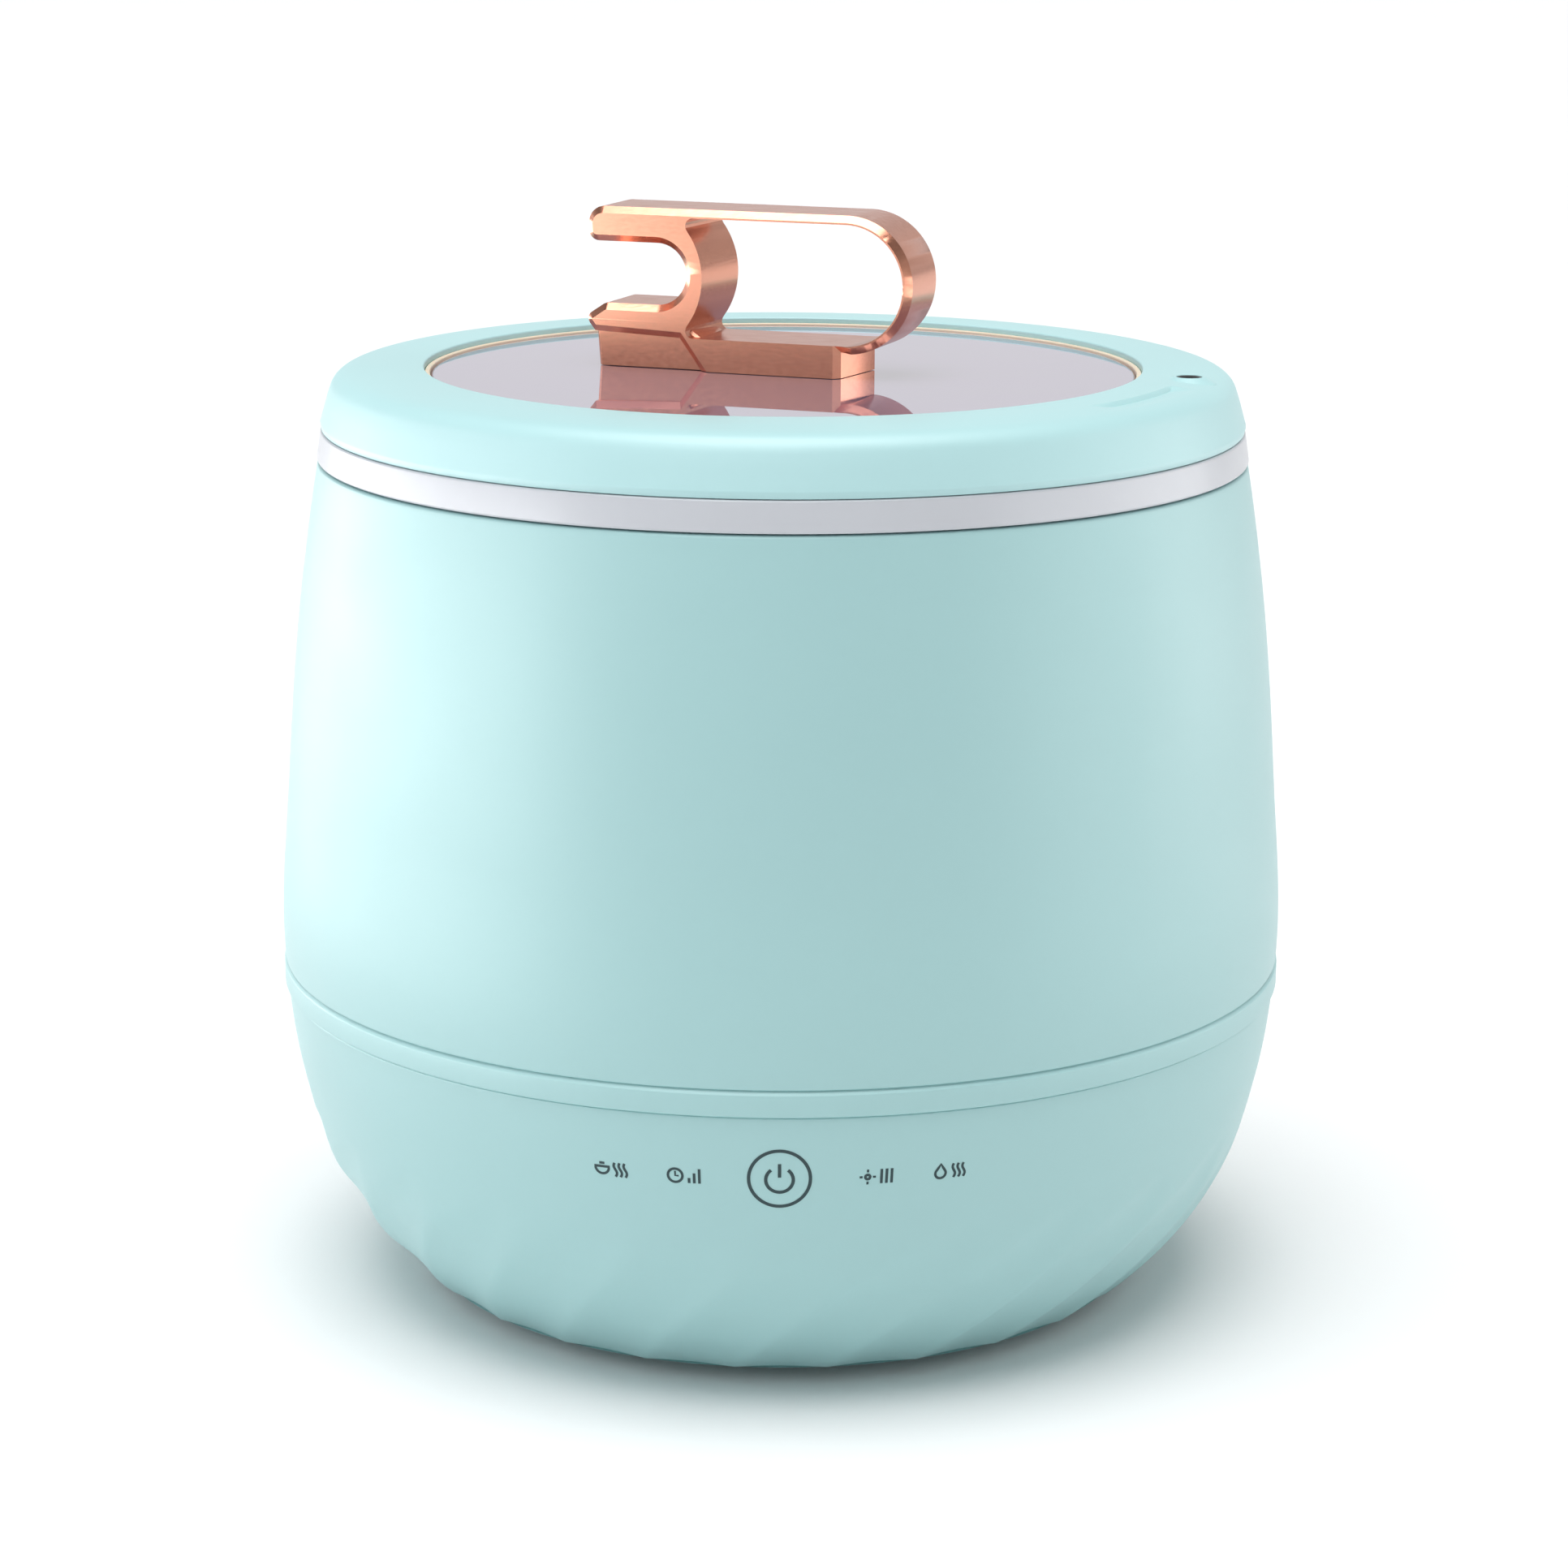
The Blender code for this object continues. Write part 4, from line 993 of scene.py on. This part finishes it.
def casting(name, outline, depth, chamfer=0.0, reshape=None):
    """A flat shape through the handle's depth, with its edges chamfered if chamfer is given."""
    curve = bpy.data.curves.new(name, "CURVE")
    curve.dimensions = "2D"
    curve.fill_mode = "BOTH"
    curve.extrude = (depth / 2 - chamfer) * MM
    curve.bevel_depth = chamfer * MM
    curve.bevel_resolution = 0
    curve.offset = -chamfer * MM
    spline = curve.splines.new("POLY")
    spline.points.add(len(outline) - 1)
    for point, (x, y) in zip(spline.points, outline):
        point.co = (x * MM, y * MM, 0.0, 1.0)
    spline.use_cyclic_u = True
    piece = bpy.data.objects.new(name, curve)
    bpy.context.scene.collection.objects.link(piece)
    placing = (Matrix.Translation((0, 0, low("lid_handle") * MM))
               @ Matrix.Rotation(HANDLE_TURN, 4, "Z") @ Matrix.Rotation(math.pi / 2, 4, "X"))
    piece = bake(piece)
    if reshape:
        reshape(piece.data)
    piece.data.transform(placing)
    return piece


def flare_web(mesh):
    """Move the back of the finger opening's left side, so that the web thickens backwards."""
    for vertex in mesh.vertices:
        if vertex.co.z < 0 and vertex.co.x < WEB_SIDE * MM:
            vertex.co.x += WEB_FLARE * MM


def flare_bar(mesh):
    """Lengthen the foot's bar towards the back of the handle."""
    first, last, over = BAR_END
    for vertex in mesh.vertices:
        along, up, depth = vertex.co / MM
        if depth < 0 and first < along < last and up < over:
            vertex.co.x += BAR_FLARE * MM


def trim_and_soften(piece, *tools):
    """Cut the foot level with the glass, cut the tools out, and round all edges a little."""
    over = low("lid_handle") + FOOT_DROP
    cut(piece, *tools, block("below_foot", (100, 100, 10), (0, 0, over - 5)))
    soften = piece.modifiers.new("Soften", "BEVEL")
    soften.width = HANDLE_SOFT * MM
    soften.segments = 1
    soften.limit_method = "ANGLE"
    soften.angle_limit = HANDLE_ROUNDED
    bake(piece).data.set_sharp_from_angle(angle=HANDLE_SHARP)
    return piece


def make_handle():
    """Plated handle with bright chamfers, and the narrower foot below its hook."""
    handle = casting("handle_casting", handle_outline(), HANDLE_DEPTH, HANDLE_CHAMFER, flare_bar)
    opening = casting("opening", loop_outline()[::-1], HANDLE_DEPTH + 4, reshape=flare_web)
    dress(trim_and_soften(handle, opening), "lid", COPPER, "copper_plate", "lid_handle")
    foot = casting("handle_foot", foot_outline(), HANDLE_DEPTH - 2 * FOOT_UNDERCUT[2], 0.5)
    dress(trim_and_soften(foot), "lid", COPPER, "copper_plate")


# ---------------------------------------------------------------- camera, lights and floor

def make_camera():
    """Camera in front of the cooker and a little above it."""
    data = bpy.data.cameras.new("camera")
    data.lens = CAMERA_LENS
    data.sensor_width = 36.0
    data.clip_start = 0.01
    camera = bpy.data.objects.new("camera", data)
    bpy.context.scene.collection.objects.link(camera)
    camera.matrix_world = (Matrix.Translation(CAMERA_PLACE)
                           @ Matrix.Rotation(math.pi / 2 - CAMERA_PITCH, 4, "X")
                           @ Matrix.Rotation(CAMERA_ROLL, 4, "Z"))
    bpy.context.scene.camera = camera


def overhead(strength, spread, direction):
    """An even soft light from above and slightly in front, as a broad bank of lamps gives."""
    data = bpy.data.lights.new("overhead", "SUN")
    data.energy = strength
    data.angle = spread
    lamp = bpy.data.objects.new("overhead", data)
    lamp.rotation_euler = (-Vector(direction)).to_track_quat("-Z", "Y").to_euler()
    bpy.context.scene.collection.objects.link(lamp)


def softbox(name, place, width, height, power, tint=(1.0, 1.0, 1.0), gloss_only=False):
    """A rectangular area light that faces the cooker. It may show in reflections only."""
    data = bpy.data.lights.new(name, "AREA")
    data.shape = "RECTANGLE"
    data.size = width
    data.size_y = height
    data.energy = power
    data.color = tint
    lamp = bpy.data.objects.new(name, data)
    bpy.context.scene.collection.objects.link(lamp)
    lamp.visible_camera = False
    lamp.visible_diffuse = not gloss_only
    lamp.location = place
    lamp.rotation_euler = (COOKER_MIDDLE - Vector(place)).to_track_quat("-Z", "Y").to_euler()


def brighten_horizon(tree, background, horizon, zenith):
    """Let the sky's strength fall from the horizon's value to the zenith's."""
    place = tree.nodes.new("ShaderNodeTexCoord")
    parts = tree.nodes.new("ShaderNodeSeparateXYZ")
    fall = tree.nodes.new("ShaderNodeMapRange")
    fall.interpolation_type = "SMOOTHSTEP"
    fall.inputs["From Min"].default_value = 0.25
    fall.inputs["From Max"].default_value = 0.75
    fall.inputs["To Min"].default_value = horizon
    fall.inputs["To Max"].default_value = zenith
    tree.links.new(place.outputs["Generated"], parts.inputs[0])
    tree.links.new(parts.outputs["Z"], fall.inputs["Value"])
    tree.links.new(fall.outputs["Result"], background.inputs["Strength"])


def make_studio():
    """Pale floor under a sky that dims upwards, with soft lamps and some that only add gloss."""
    scene = bpy.context.scene
    scene.view_settings.view_transform = "Standard"
    world = bpy.data.worlds.new("studio")
    world.use_nodes = True
    background = world.node_tree.nodes["Background"]
    background.inputs["Color"].default_value = SKY
    brighten_horizon(world.node_tree, background, SKY_HORIZON, SKY_ZENITH)
    scene.world = world
    overhead(2.9, math.radians(50), (-0.05, -0.10, 1.0))
    # name, place, width, height, power and tint
    softbox("key_left", (-2.0, 0.0, 0.55), 3.0, 0.55, 5.5, COOL)
    softbox("fill_left", (-2.1, -0.68, 1.2), 1.2, 1.2, 6.5, COOL)
    softbox("rim_right", (1.6, 0.25, 0.6), 1.1, 1.2, 4.0, WARM)
    softbox("gloss_left", (-0.50, 0.00, 0.09), 0.90, 0.24, 3.3, gloss_only=True)
    softbox("gloss_right", (0.55, -0.05, 0.15), 0.7, 0.30, 1.0, gloss_only=True)
    softbox("gloss_front", (-0.30, -1.0, 1.1), 1.0, 0.6, 3.8, gloss_only=True)
    softbox("gloss_back", (0.25, 1.3, 0.50), 1.6, 0.5, 0.65, gloss_only=True)
    make_floor()


def make_floor():
    """Wide flat sheet of studio paper."""
    mesh = bpy.data.meshes.new("floor")
    shape = bmesh.new()
    bmesh.ops.create_grid(shape, x_segments=8, y_segments=8, size=12.0)
    shape.to_mesh(mesh)
    shape.free()
    floor = bpy.data.objects.new("floor", mesh)
    bpy.context.scene.collection.objects.link(floor)
    mesh.materials.append(floor_paper())


def dress_cad_nodes():
    """Give every CAD node a material of its record's slot."""
    slots = {row["node"]: row["material_slot"] for row in frame["record"]["subparts"]}
    for name, node in frame["nodes"].items():
        node.data.materials.clear()
        node.data.materials.append(NODE_FINISHES[slots[name]])


make_camera()
make_studio()
dress_cad_nodes()
make_base_shell()
make_trim_band()
make_outer_shell()
make_marks()
make_feet_and_screws()
make_inlet()
make_crock()
make_liner()
make_sensor()
make_sensor_spring()
make_lid_ring()
make_glass()
make_lid_underside()
make_handle()
